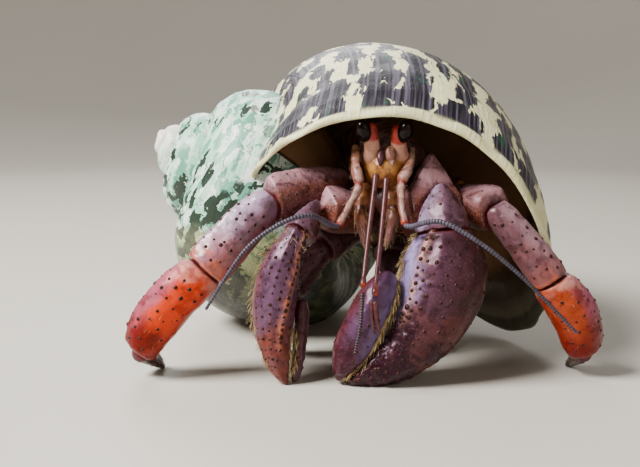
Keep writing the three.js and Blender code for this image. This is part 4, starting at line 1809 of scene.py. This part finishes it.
def fringe(
    bed: Bed, skin: Skin, plot: int, count: int, ends: Ends, size: float, seed: int, lean: Point = (0.8, 0.6, 0.0)
) -> None:
    """Set bristles over a stretch of a skin.

    Args:
        bed: The bed they grow in.
        skin: The skin they stand on.
        plot: Its square of the bake map.
        count: How many there are.
        ends: The first and last share along the skin, and the first and last turn.
        size: Their length in millimetres.
        seed: Fixes where they stand.
        lean: How far each stands out, lies along and lies round the skin.
    """
    rng = np.random.default_rng(seed)
    place = rng.uniform(ends[0], ends[1], count)
    turn = rng.uniform(ends[2], ends[3], count)
    sizes = size * rng.uniform(0.6, 1.25, count)
    for k in range(TUFTS):
        part = slice(k, None, TUFTS)
        out, along, across = (value + rng.normal(0, TUFT_SPREAD) for value in lean)
        bed.cover(skin, plot, place[part], turn[part], sizes[part], out, along, across)


@dataclass(frozen=True)
class Plate:
    """How one plate of a walking leg is shaped, studded and haired."""

    part: str
    slot: Slot
    section: Table
    rows: int
    gap: float
    size: float
    bristles: int
    nose: float = 0.035


LEG_PLATES = (
    Plate("merus", Slot.CRUST, MERUS, 8, 1.5, 0.153, 40),
    Plate("carpus", Slot.CRUST, CARPUS, 9, 1.5, 0.2295, 60),
    Plate("propodus", Slot.CORAL, PROPODUS, 9, 1.5, 0.2295, 50),
    Plate("dactyl", Slot.CRUST, DACTYL, 5, 1.3, 0.119, 110, 0.12),
)


@dataclass
class WalkingLeg:
    """A walking leg: four plates, with its joints from the body to the floor."""

    name: str
    joints: list[Point]
    halves: list[tuple[float, float]]
    up: Point
    bows: list[float]
    facet: float = 0.15
    facet_width: float = 0.1
    facet_depth: float = 0.4
    keels: tuple[float, ...] = (0.5, 0.26, 0.18, 0.0)
    reaches: tuple[float, ...] = (0.35, 0.35, 0.35, 0.0)

    def build(self, garden: Garden, finishes: list[bpy.types.Material]) -> None:
        """Make and dress the leg.

        Args:
            garden: The beds that its tubercles and bristles grow in.
            finishes: The finish of each plate.
        """
        skins = []
        for i, plate in enumerate(LEG_PLATES):
            segment = Segment(
                f"{self.name}_{plate.part}_plate",
                self.joints[i],
                self.joints[i + 1],
                self.up,
                plate.section,
                *self.halves[i],
                self.bows[i],
                self.keels[i],
                self.reaches[i],
                plate.nose,
            )
            skins.append(segment.skin().roughen(0.14, 2.2, 4, i * 3.1))
        carpus = skins[1]
        middle = plateau(carpus.along, 0.08, 0.3, 0.65, 0.95)
        carpus.push(-self.facet_depth * middle * bell(carpus.away(self.facet), 0, self.facet_width))
        for inner, outer in zip(skins, skins[1:]):
            inner.fit_round(outer, 0.24, 0.22)
        seed = sum(map(ord, self.name))
        for i, (skin, plate) in enumerate(zip(skins, LEG_PLATES)):
            skin.rest()
            plot = garden.plot()
            studs(garden, skin, plot, plate.rows, plate.gap, plate.size, seed + i, (0.14, 0.94, -0.12, 0.62))
            bed = garden.dark if i < 2 else garden.golden
            fringe(bed, skin, plot, plate.bristles, (0.1, 0.97, 0.0, 1.0), 0.6, seed + 9 + i)
            hand_over(skin.piece(finishes[i]), plate.slot, f"{self.name}_{plate.part}")


@dataclass
class Claw:
    """A claw: merus, carpus, palm with its fixed finger, and movable finger."""

    name: str
    merus: Segment
    carpus: Segment
    palm: Finger
    dactyl: Finger
    crests: tuple[Crest, ...] = ()
    brushes: tuple[Brush, ...] = ()
    scatter: tuple[float, float, float, float] = (0.06, 0.97, -0.1, 0.3)
    facets: tuple[Point, ...] = ()

    def build(self, garden: Garden, finishes: list[bpy.types.Material]) -> None:
        """Make and dress the claw.

        Args:
            garden: The beds that its tubercles and bristles grow in.
            finishes: The finish of the merus, the carpus, and the two hand plates.
        """
        skins = [part.skin() for part in (self.merus, self.carpus, self.palm, self.dactyl)]
        for i, skin in enumerate(skins):
            skin.roughen(0.16, 3.4, 4, i * 2.3)
        merus, carpus, palm, dactyl = skins
        middle = plateau(palm.along, 0.02, 0.16, 0.62, 0.9)
        for where, width, sink in self.facets:
            palm.push(-sink * middle * bell(palm.away(where), 0, width))
        for crest in self.crests:
            crest.shape(palm)
        palm.push(0.12 * smooth(palm.along, 0.4, 0.7) * rumple(palm.rings, 0.8, 2, 5.0))
        dactyl.push(0.1 * smooth(dactyl.along, 0.4, 0.8) * rumple(dactyl.rings, 0.8, 2, 8.0))
        merus.fit_round(carpus)
        merus.fit_round(palm)
        carpus.fit_round(palm)
        palm.fit_round(dactyl, 0.4, 0.34)
        self.plant(garden, skins)
        for skin, part, finish in zip(skins, ("merus", "carpus", "palm", "dactyl"), finishes):
            skin.rest()
            hand_over(skin.piece(finish), Slot.CRUST, f"{self.name}_{part}")

    def plant(self, garden: Garden, skins: list[Skin]) -> None:
        """Set the claw's tubercles and bristles.

        Args:
            garden: The beds.
            skins: The merus, the carpus, the palm and the movable finger.
        """
        merus, carpus, palm, dactyl = skins
        seed = sum(map(ord, self.name))
        plots = [garden.plot() for _ in range(4)]
        studs(garden, merus, plots[0], 10, 1.5, 0.13, seed, (0.2, 0.96, -0.1, 0.6))
        studs(garden, carpus, plots[1], 8, 1.35, 0.17, seed + 1, (0.2, 0.96, -0.05, 0.55))
        studs(garden, palm, plots[2], 7, 2.0, 0.22, seed + 2, self.scatter)
        studs(garden, dactyl, plots[3], 7, 1.5, 0.17, seed + 3, (0.3, 0.96, 0.0, 0.5))
        for step, crest in enumerate(self.crests):
            crest.plant(garden, palm, plots[2], seed + 20 + step)
        for step, brush in enumerate(self.brushes):
            skin, plot = (dactyl, plots[3]) if brush.finger else (palm, plots[2])
            fringe(garden.golden, skin, plot, brush.count, brush.ends, brush.size, seed + 40 + step, brush.lean)
        fringe(garden.dark, carpus, plots[1], 70, (0.2, 0.97, 0.0, 1.0), 0.7, seed + 6)
        fringe(garden.dark, palm, plots[2], 160, (0.05, 0.97, 0.0, 1.0), 0.6, seed + 7)


@dataclass
class HoldLeg:
    """A short fourth leg, which holds the shell from inside."""

    name: str
    through: list[Point]

    def build(self, finish: bpy.types.Material) -> None:
        """Make and dress the leg.

        Args:
            finish: Its finish.
        """
        skin = Feeler(f"{self.name}_plate", self.through, HOLD_LEG, 0.08).skin().roughen(0.1, 1.6)
        skin.joint = bell(skin.along, 0.36, 0.03)
        hand_over(skin.piece(finish), Slot.MOUTH, self.name)


# ---- The head -------------------------------------------------------------------------


@dataclass
class HeadSide:
    """One side of the head: stalked eye, scale, the two feelers and the mouth limb."""

    side: str
    stalk: list[Point]
    eye: Point
    eye_along: Point
    scale: list[Point]
    antennule: list[Point]
    antennule_tip: list[Point]
    antenna: list[Point]
    flagellum: list[Point]
    maxilliped: list[Point]
    jointed_tip: bool
    pale_scale: bool
    eye_half: Point = (1.55, 1.02, 1.05)

    def build(self, garden: Garden, finishes: dict[str, bpy.types.Material]) -> None:
        """Make and dress this side of the head.

        Args:
            garden: The beds that its bristles grow in.
            finishes: The finishes of the head, by name.
        """
        self.build_eye(finishes)
        self.build_antennule(finishes)
        self.build_antenna(garden, finishes)
        mouth = self.feeler("maxilliped", "plate", self.maxilliped, MOUTH_LIMB, 0.06, 60, 32).roughen(0.1, 1.2)
        mouth.joint = bell(mouth.along, 0.42, 0.03)
        self.hand(mouth, finishes["mouth"], Slot.MOUTH, "maxilliped")
        fringe(garden.golden, mouth, garden.plot(), 90, (0.35, 0.98, 0.0, 1.0), 0.8, 72, (0.6, 0.9, 0))

    def feeler(self, part: str, kind: str, *sizes: object) -> Skin:
        """The skin of a round part of this side."""
        return Feeler(f"{part}_{self.side}_{kind}", *sizes).skin()

    def hand(self, skin: Skin, finish: bpy.types.Material, slot: Slot, part: str) -> None:
        """Make a piece of this side and tie it to the frame."""
        hand_over(skin.piece(finish), slot, f"{part}_{self.side}")

    def build_eye(self, finishes: dict[str, bpy.types.Material]) -> None:
        """The cornea on the outer side of its stalk, and the scale at the foot of it.

        Args:
            finishes: The finishes of the head, by name.
        """
        eye = round_body(f"cornea_{self.side}_lens", self.eye, self.eye_along, self.eye_half, 56, 48)
        self.hand(eye, finishes["cornea"], Slot.EYE, "cornea")
        stalk = self.feeler("eyestalk", "plate", self.stalk, EYE_STALK, 0.1, 56, 48).roughen(0.06, 1.2)
        self.hand(stalk, finishes["stalk"], Slot.HEAD, "eyestalk")
        # The right scale, in shade, takes the dark umber finish as painted shade; the left one takes the cream finish.
        half, finish = (0.72, "cream") if self.pale_scale else (0.5, "umber")
        sizes = {"nose": 0.2, "steps": 24, "count": 28}
        scale = Segment(f"scale_{self.side}_plate", *self.scale, (0, -1, 0), SCALE, half, 0.4, **sizes)
        self.hand(scale.skin(), finishes[finish], Slot.HEAD, "scale")

    def build_antennule(self, finishes: dict[str, bpy.types.Material]) -> None:
        """The smooth rod of the short feeler, with its jointed or its two-branched end.

        Args:
            finishes: The finishes of the head, by name.
        """
        antennule = self.feeler("antennule", "rod", self.antennule, SHORT_ROD, 0.02, 80, 20)
        self.hand(antennule, finishes["pink"], Slot.HEAD, "antennule")
        if self.jointed_tip:
            rings = string_of_beads(self.antennule_tip, 0.31, 0.18, 0.34)
            self.thread("antennule_tip", rings, finishes["dark_beads"], 6, 0.04)
            return
        skin = self.feeler("antennule_tip", "rod", self.antennule_tip, TIP_ROD, 0.05, 50, 18)
        skin.push(-0.04 * np.abs(np.sin(skin.along * 14 * math.pi)) ** 6)
        self.hand(skin, finishes["pink"], Slot.FEELER, "antennule_tip")
        points = [tuple(np.array(p) + [-0.45 - 0.1 * i, -0.1, 0.1]) for i, p in enumerate(self.antennule_tip)]
        skin = self.feeler("antennule_tip", "branch", points, TIP_BRANCH, 0.05, 40, 14)
        hand_over(skin.piece(finishes["pink"]), Slot.FEELER)

    def build_antenna(self, garden: Garden, finishes: dict[str, bpy.types.Material]) -> None:
        """The long feeler: its jointed stem and its ringed whip.

        Args:
            garden: The beds that its bristles grow in.
            finishes: The finishes of the head, by name.
        """
        antenna = self.feeler("antenna", "stem", self.antenna, LONG_STEM, 0.03, 100, 36).roughen(0.07, 0.9)
        antenna.joint = bell(antenna.along, 0.5, 0.022) + 0.5 * bell(antenna.along, 0.26, 0.02)
        antenna.marks["ridge"] = smooth(antenna.along, 0.92, 0.98)
        self.hand(antenna, finishes["cream"], Slot.HEAD, "antenna")
        fringe(garden.pale, antenna, garden.plot(), 60, (0.05, 0.9, 0.0, 1.0), 0.5, 71)
        rings = string_of_beads([self.antenna[-1], *self.flagellum], 0.37, 0.2, 0.42)
        self.thread("flagellum", rings, finishes["beads"], 5, 0.03)

    def thread(self, part: str, rings: Bed, finish: bpy.types.Material, seed: int, jitter: float) -> None:
        """Make the rings of a feeler one piece and tie it to the frame."""
        made = rings.grow(f"{part}_{self.side}_rings", Sprig.BEAD, finish, seed, jitter)
        hand_over(made, Slot.FEELER, f"{part}_{self.side}")


def string_of_beads(through: list[Point], root: float, tip: float, step: float) -> Bed:
    """Rings threaded on a curve, each as long as the gap to the next.

    Args:
        through: The points that the curve goes through.
        root: The radius at its start.
        tip: The radius at its end.
        step: The length of a ring, in millimetres.

    Returns:
        The bed of rings.
    """
    fine = along_curve(through, np.linspace(0, 1, 400))
    length = np.linalg.norm(np.diff(fine, axis=0), axis=1).sum()
    count = int(length / step)
    places = (np.arange(count) + 0.5) / count
    points = along_curve(through, places)
    along = unit(np.gradient(points, axis=0))
    radius = root + (tip - root) * places
    sizes = np.stack([radius, radius, np.full(count, BEAD_LAP * length / count)], axis=1)
    patches = np.stack([places * (1 - 2 * PLOT_EDGE) + PLOT_EDGE, np.full(count, 0.5), np.zeros(count)], axis=1)
    return Bed([(points, along, np.tile([0.0, 0.0, 1.0], (count, 1)), sizes, patches)])


@dataclass
class Trunk:
    """The face, the hard shield on the back, the chest and the soft abdomen."""

    shell: TurbanShell

    def build(self, garden: Garden, amber: bpy.types.Material, crust: bpy.types.Material) -> None:
        """Make and dress the trunk.

        Args:
            garden: The beds that its bristles grow in.
            amber: The finish of the face and chest.
            crust: The finish of the shield.
        """
        face = round_body("face_plate", (8.8, 9.7, 27.5), (0.0, -1, -0.15), (3.1, 2.75, 2.7), 64, 60)
        hand_over(face.roughen(0.2, 1.7, 3).piece(amber), Slot.MOUTH, "face")
        fringe(garden.pale, face, garden.plot(), 70, (0.3, 0.7, 0.15, 0.35), 0.7, 31, (1.0, 0.1, 0))
        shield = Segment("shield_plate", (8.6, 11.2, 29.3), (13.0, 25.0, 27.2), (0, 0, 1), TRUNK, 4.9, 3.1, nose=0.12)
        skin = shield.skin().roughen(0.3, 3.2, 4)
        groove = bell(skin.along + 0.1 * skin.lay[..., 1] ** 2, 0.4, 0.035)
        skin.push(-0.35 * groove * np.clip(skin.lay[..., 2], 0, 1))
        hand_over(skin.piece(crust), Slot.CRUST, "shield")
        fringe(garden.dark, skin, garden.plot(), 160, (0.05, 0.9, 0.0, 0.5), 0.7, 32, (0.7, -0.5, 0))
        fringe(garden.pale, skin, garden.plot(), 260, (0.0, 0.12, 0.05, 0.45), 0.55, 33, (1.0, -0.3, 0))
        thorax = Segment("thorax_plate", (9.6, 11.8, 21.4), (13.4, 25.0, 21.8), (0, 0, 1), TRUNK, 4.8, 4.7, nose=0.12)
        skin = thorax.skin().roughen(0.3, 2.6, 4)
        skin.push(-0.3 * np.abs(np.sin(skin.along * 5 * math.pi)) ** 6)
        hand_over(skin.piece(CHEST.material()), Slot.MOUTH, "thorax")
        fringe(garden.golden, skin, garden.plot(), 220, (0.0, 0.3, 0.55, 0.95), 1.1, 34, (0.9, -0.5, 0))
        lip = self.shell.lip_angle
        whorls = [tuple(self.shell.middle(lip - back * TAU)) for back in (0.25, 0.36, 0.47, 0.56)]
        skin = Feeler("abdomen_skin", [(13.2, 25.6, 26.6), *whorls], ABDOMEN, 0.08, 90, 48).skin()
        skin.push(-0.3 * np.abs(np.sin(skin.along * 12 * math.pi)) ** 8).roughen(0.25, 3.0)
        hand_over(skin.piece(soft_finish()), Slot.SKIN, "abdomen")


# ---- The studio -----------------------------------------------------------------------


@dataclass(frozen=True)
class Lamp:
    """A soft round lamp: its place, size in metres, power in watts and tint."""

    name: str
    place: Point
    size: float
    power: float
    tint: Colour = (1.0, 1.0, 1.0)


@dataclass(frozen=True)
class Studio:
    """The camera, the pale floor and the soft lamps."""

    eye: Point = (0.0, -100.0, 34.313)
    pitch: float = 8.2153
    lens: float = 45.0
    aim: Point = (3.0, 12.0, 20.0)
    floor_flat: float = 0.45
    floor_bend: float = 0.35
    wall_top: float = 0.42
    surround: str = "d9d6d0"
    surround_power: float = 0.15
    lamps: tuple[Lamp, ...] = (
        Lamp("window", (-290.0, -110.0, 350.0), 0.2, 6.8, (1.0, 0.98, 0.95)),
        Lamp("fill", (300.0, -320.0, 200.0), 0.4, 0.3, (1.0, 0.96, 0.92)),
        Lamp("back", (-60.0, 400.0, 330.0), 0.35, 1.2),
    )

    def build(self) -> None:
        """Set up the whole studio."""
        self.camera()
        self.floor()
        self.light()

    def camera(self) -> None:
        """The camera, a little above the floor in front of the crab."""
        data = bpy.data.cameras.new("camera")
        data.lens = self.lens
        data.sensor_width = 36.0
        data.clip_start = 0.005
        made = linked("camera", data)
        made.location = to_row(np.array(self.eye))
        made.rotation_euler = (math.radians(90 - self.pitch), 0, 0)
        bpy.context.scene.camera = made

    def floor(self) -> None:
        """A round pale floor that sweeps up into a low wall, with a faint unevenness of tone."""
        sides = 128
        bend = np.linspace(0, math.pi / 2, 25)
        reach = [0.15, *(self.floor_flat + self.floor_bend * np.sin(bend)), self.floor_flat + self.floor_bend]
        rise = [0.0, *(self.floor_bend * (1 - np.cos(bend))), self.wall_top]
        turn = TAU * np.arange(sides) / sides
        rings = [(r * np.cos(turn), r * np.sin(turn), np.full(sides, z)) for r, z in zip(reach, rise)]
        points = np.concatenate([np.stack(ring, axis=1) for ring in rings])
        faces = [list(range(sides)), *ring_quads(len(reach), sides)[:, [0, 3, 2, 1]].tolist()]
        bench = Bench("floor_paint")
        tone = bench.blend(bench.cloud(bench.place(), 3.0, 3.0), "c0bab0", "cac4ba")
        bench.dress(Base_Color=tone, Roughness=0.42)
        made = mesh_object("floor", points, faces, {})
        made.data.materials.append(bench.material)

    def light(self) -> None:
        """The lamps and the pale surround."""
        for lamp in self.lamps:
            data = bpy.data.lights.new(lamp.name, "AREA")
            data.shape = "DISK"
            data.size = lamp.size
            data.energy = lamp.power
            data.color = lamp.tint
            made = linked(lamp.name, data)
            made.location = to_row(np.array(lamp.place))
            aim = Vector(to_row(np.array(self.aim))) - made.location
            made.rotation_euler = aim.to_track_quat("-Z", "Y").to_euler()
        world = bpy.data.worlds.new("surround")
        world.use_nodes = True
        shade = world.node_tree.nodes["Background"].inputs
        shade["Color"].default_value = (*hue(self.surround), 1.0)
        shade["Strength"].default_value = self.surround_power
        bpy.context.scene.world = world


# ---- The crab -------------------------------------------------------------------------

LEGS = (
    WalkingLeg(
        "leg2_r",
        [(4.6, 15.6, 24.4), (-6.6, 7.2, 23.4), (-15.1, 3.0, 14.6), (-24.0, 2.8, 4.0), (-21.6, 7.4, 0)],
        [(2.3, 3.3), (2.5, 2.9), (2.5, 3.0), (1.5, 1.8)],
        (-0.55, -0.3, 0.78),
        [0.3, 0.35, 0.9, 0.5],
    ),
    WalkingLeg(
        "leg2_l",
        [(17.4, 17.0, 22.0), (23.3, 6.4, 22.4), (30.4, 3.0, 13.1), (35.5, 4.0, 3.5), (34.5, 8.2, 0)],
        [(2.6, 3.0), (2.1, 2.2), (2.4, 2.8), (1.4, 1.6)],
        (0.6, -0.3, 0.74),
        [0.2, 0.3, 0.8, 0.4],
    ),
    WalkingLeg(
        "leg3_r",
        [(8.0, 20.0, 19.8), (0.6, 13.0, 16.2), (-4.3, 11.8, 10.2), (-5.5, 12.6, 4.4), (-5.2, 15.6, 0)],
        [(2.0, 2.5), (1.8, 2.2), (1.6, 1.9), (1.1, 1.3)],
        (-0.6, -0.6, 0.5),
        [0.3, 0.3, 0.5, 0.4],
    ),
    WalkingLeg(
        "leg3_l",
        [(13.8, 21.0, 19.4), (9.9, 14.6, 14.6), (12.2, 12.6, 8.8), (13.9, 13.2, 4.2), (13.6, 16.0, 0)],
        [(2.1, 2.5), (1.8, 2.2), (1.6, 1.9), (1.1, 1.3)],
        (0.6, -0.6, 0.5),
        [0.2, 0.3, 0.5, 0.4],
    ),
)
HOLD_LEGS = (
    HoldLeg("leg4_r", [(8.6, 24.8, 24.6), (5.6, 27.0, 25.8), (4.6, 25.0, 28.0)]),
    HoldLeg("leg4_l", [(14.6, 25.0, 24.2), (19.4, 25.8, 23.8), (21.8, 21.6, 24.6)]),
)
BIG_CLAW = Claw(
    "claw_l",
    Segment(
        "claw_l_merus_plate", (13.6, 14.4, 20.6), (15.6, 7.0, 24.6), (0.02, 0.35, 0.94), MERUS, 4.0, 6.7, keel=1.0
    ),
    Segment(
        "claw_l_carpus_plate", (16.2, 6.6, 25.6), (16.2, 3.7, 18.9), (0, -0.97, 0.25), WRIST, 3.7, 3.3,
        keel=0.35, nose=0.05,
    ),  # fmt: skip
    Finger(
        "claw_l_palm_plate",
        [(16.3, 3.6, 20.3), (17.6, 1.3, 4.3), (3.2, 0.1, 0.5)],
        (-0.25, -1, 0.35),
        [
            (0, 2.9, 2.7), (0.1, 4.7, 3.9), (0.2, 5.6, 4.7), (0.3, 5.6, 5.0), (0.42, 5.0, 4.8),
            (0.54, 4.4, 4.3), (0.66, 3.6, 3.6), (0.79, 2.8, 2.8), (0.9, 1.8, 1.9), (1, 0.6, 0.7),
        ],
        0.22,
        steps=120,
        count=144,
    ),
    Finger(
        "claw_l_dactyl_plate",
        [(9.3, 2.0, 14.5), (5.2, -0.2, 8.0), (2.3, 0.5, 0.3)],
        (-0.25, -1, 0.3),
        [
            (0, 0.9, 1.3), (0.12, 1.9, 2.2), (0.3, 2.5, 2.8), (0.5, 2.5, 2.7),
            (0.7, 2.4, 2.4), (0.86, 1.7, 1.8), (1, 0.6, 0.7),
        ],
        0.18,
    ),
    crests=(
        Crest(0.0, 0.58, (0.326, 0.343), 12, 0.34, 0.4),
        Crest(0.03, 0.55, (0.302, 0.317), 9, 0.27),
        Crest(0.06, 0.62, (0.265, 0.285), 8, 0.24),
        Crest(0.5, 0.95, (0.36, 0.4), 14, 0.24),
        Crest(0.5, 0.95, (0.32, 0.34), 14, 0.22),
        Crest(0.5, 0.95, (0.27, 0.28), 12, 0.22),
        Crest(0.52, 0.93, (0.22, 0.23), 10, 0.2),
    ),
    brushes=(
        Brush(False, 620, (0.18, 0.95, 0.44, 0.56), 1.6, (0.4, 0.85, 0.5)),
        Brush(True, 480, (0.02, 0.97, -0.1, 0.04), 1.4, (0.4, 0.85, -0.5)),
        Brush(False, 70, (0.02, 0.2, 0.44, 0.56), 1.2, (0.6, 0.8, 0.2)),
    ),
    scatter=(0.05, 0.97, -0.1, 0.25),
    facets=((0.42, 0.05, 0.35), (0.2, 0.07, 0.15)),
)
SMALL_CLAW = Claw(
    "claw_r",
    Segment("claw_r_merus_plate", (7.4, 13.4, 20.6), (0.6, 7.8, 22.4), (-0.2, 0.1, 0.93), MERUS, 2.7, 3.4, keel=0.9),
    Segment(
        "claw_r_carpus_plate", (-0.2, 7.2, 23.2), (-2.8, 3.9, 19.2), (-0.3, -0.85, 0.4), WRIST, 2.3, 2.2,
        keel=0.35, nose=0.05,
    ),  # fmt: skip
    Finger(
        "claw_r_palm_plate",
        [(-2.8, 3.9, 20.2), (-8.4, 1.0, 9.0), (-4.5, 0.3, 0.15)],
        (-0.1, -1, 0.2),
        [
            (0, 1.2, 1.6), (0.14, 2.0, 2.3), (0.3, 2.8, 2.8), (0.48, 3.0, 2.8),
            (0.62, 2.6, 2.4), (0.78, 1.9, 1.8), (0.9, 1.2, 1.2), (1, 0.5, 0.5),
        ],
        0.3,
        count=112,
    ),
    Finger(
        "claw_r_dactyl_plate",
        [(-2.6, 2.8, 10.8), (-2.3, 1.6, 5.4), (-3.5, 0.7, 0.15)],
        (0.35, -1, 0.15),
        [
            (0, 0.6, 0.9), (0.15, 1.0, 1.3), (0.4, 1.05, 1.4),
            (0.7, 0.85, 1.2), (0.88, 0.65, 0.85), (1, 0.4, 0.45),
        ],
        0.12,
    ),
    crests=(
        Crest(0.02, 0.8, (0.1, 0.18), 19, 0.24, 0.3, 0.03),
        Crest(0.05, 0.85, (0.16, 0.23), 16, 0.21),
        Crest(0.05, 0.9, (0.235, 0.28), 16, 0.21),
        Crest(0.08, 0.9, (0.31, 0.33), 14, 0.21),
        Crest(0.1, 0.9, (0.37, 0.38), 14, 0.2),
        Crest(0.1, 0.9, (0.05, 0.1), 14, 0.16),
    ),
    brushes=(
        Brush(False, 160, (0.62, 0.96, -0.1, 0.04), 1.0, (0.35, 0.85, -0.5)),
        Brush(True, 160, (0.35, 0.96, 0.34, 0.56), 1.0, (0.35, 0.85, 0.5)),
        Brush(False, 130, (0.1, 0.85, 0.38, 0.55), 1.0, (0.8, 0.6, 0.1)),
        Brush(False, 60, (0.0, 0.12, 0.0, 0.45), 0.8, (0.9, 0.4, 0.0)),
    ),
    scatter=(0.06, 0.97, -0.05, 0.02),
    facets=((0.27, 0.06, 0.12), (0.03, 0.05, 0.2)),
)
HEAD = (
    HeadSide(
        "r",
        [(7.5, 9.8, 27.9), (7.1, 8.5, 29.9), (6.9, 7.7, 31.4), (6.75, 7.3, 32.9), (6.6, 7.1, 33.7)],
        (5.75, 6.7, 32.6),
        (-0.25, -0.35, 1),
        [(8.2, 7.6, 30.2), (8.0, 6.5, 27.9)],
        [(7.5, 6.6, 26.9), (6.4, 2.4, 20.4), (5.3, -2.4, 13.4)],
        [(5.25, -2.9, 12.8), (5.0, -4.0, 9.2), (4.3, -4.6, 5.6)],
        [(4.9, 10.2, 30.6), (4.8, 7.8, 28.0), (5.1, 6.3, 25.2), (3.8, 5.2, 22.8), (2.4, 4.0, 20.3)],
        [
            (1.7, 3.4, 20.4), (-1.3, 0.6, 22.1), (-4.4, -0.2, 21.4),
            (-8.9, -0.9, 18.4), (-12.1, -1.3, 14.1), (-14.4, -1.4, 10.4),
        ],
        [(6.3, 9.6, 25.2), (5.5, 6.8, 21.6), (6.3, 5.4, 16.9)],
        jointed_tip=True,
        pale_scale=False,
    ),
    HeadSide(
        "l",
        [(10.9, 9.8, 27.9), (10.7, 8.5, 29.7), (10.5, 7.7, 31.3), (10.35, 7.3, 32.7), (10.3, 7.1, 33.5)],
        (11.25, 6.7, 32.5),
        (0.2, -0.35, 1),
        [(9.3, 7.4, 30.6), (9.6, 6.4, 28.0)],
        [(8.9, 6.6, 26.4), (7.9, 2.0, 19.6), (6.7, -3.8, 12.7)],
        [(6.7, -4.3, 12.1), (6.9, -4.9, 10.2), (7.3, -5.2, 8.1)],
        [(12.5, 10.2, 30.2), (12.0, 7.8, 28.0), (10.9, 6.2, 26.0), (10.7, 4.6, 23.2), (11.0, 2.6, 20.5)],
        [
            (11.6, 1.9, 20.5), (14.9, -1.9, 21.6), (19.8, -3.3, 19.0),
            (24.8, -3.0, 15.0), (28.8, -2.2, 11.1), (32.5, -1.6, 7.4),
        ],
        [(9.7, 9.6, 25.2), (9.9, 7.0, 21.6), (8.9, 5.8, 17.3)],
        jointed_tip=False,
        pale_scale=True,
    ),
)


def main() -> None:
    """Build the studio and the whole crab, piece by piece."""
    logging.basicConfig(level=logging.INFO, format="%(name)s %(message)s")
    Studio().build()
    garden = Garden()
    shell = TurbanShell()
    shell.build()
    lilac, wrist, meral, palm, thumb, edged, coral, shaded_coral, tip, shaded_lilac, amber, umber = (
        finish.material()
        for finish in (LILAC, WRISTS, MERAL, PALM, THUMB, EDGED, CORAL, SHADED_CORAL, CLAWTIP, SHADED_LILAC, AMBER, UMBER)
    )
    # The leg on the shaded side takes the shaded copies of the lilac and coral, and the hind legs take umber and
    # shaded coral: painted shade.
    coats = {"leg2_r": [meral, lilac, coral, tip], "leg2_l": [meral, shaded_lilac, shaded_coral, tip]}
    for leg in LEGS:
        leg.build(garden, coats.get(leg.name, [umber, umber, shaded_coral, tip]))
    BIG_CLAW.build(garden, [meral, wrist, palm, thumb])
    SMALL_CLAW.build(garden, [meral, wrist, edged, umber])
    for leg in HOLD_LEGS:
        leg.build(amber)
    head = {"cream": CREAM, "pink": PINK, "stalk": STALK, "beads": BEADS, "dark_beads": DARK_BEADS, "mouth": MOUTHLIMB}
    finishes = {name: finish.material() for name, finish in head.items()}
    finishes |= {"umber": umber, "cornea": cornea_finish()}
    for side in HEAD:
        side.build(garden, finishes)
    Trunk(shell).build(garden, amber, meral)
    garden.build()


if __name__ == "__main__":
    main()
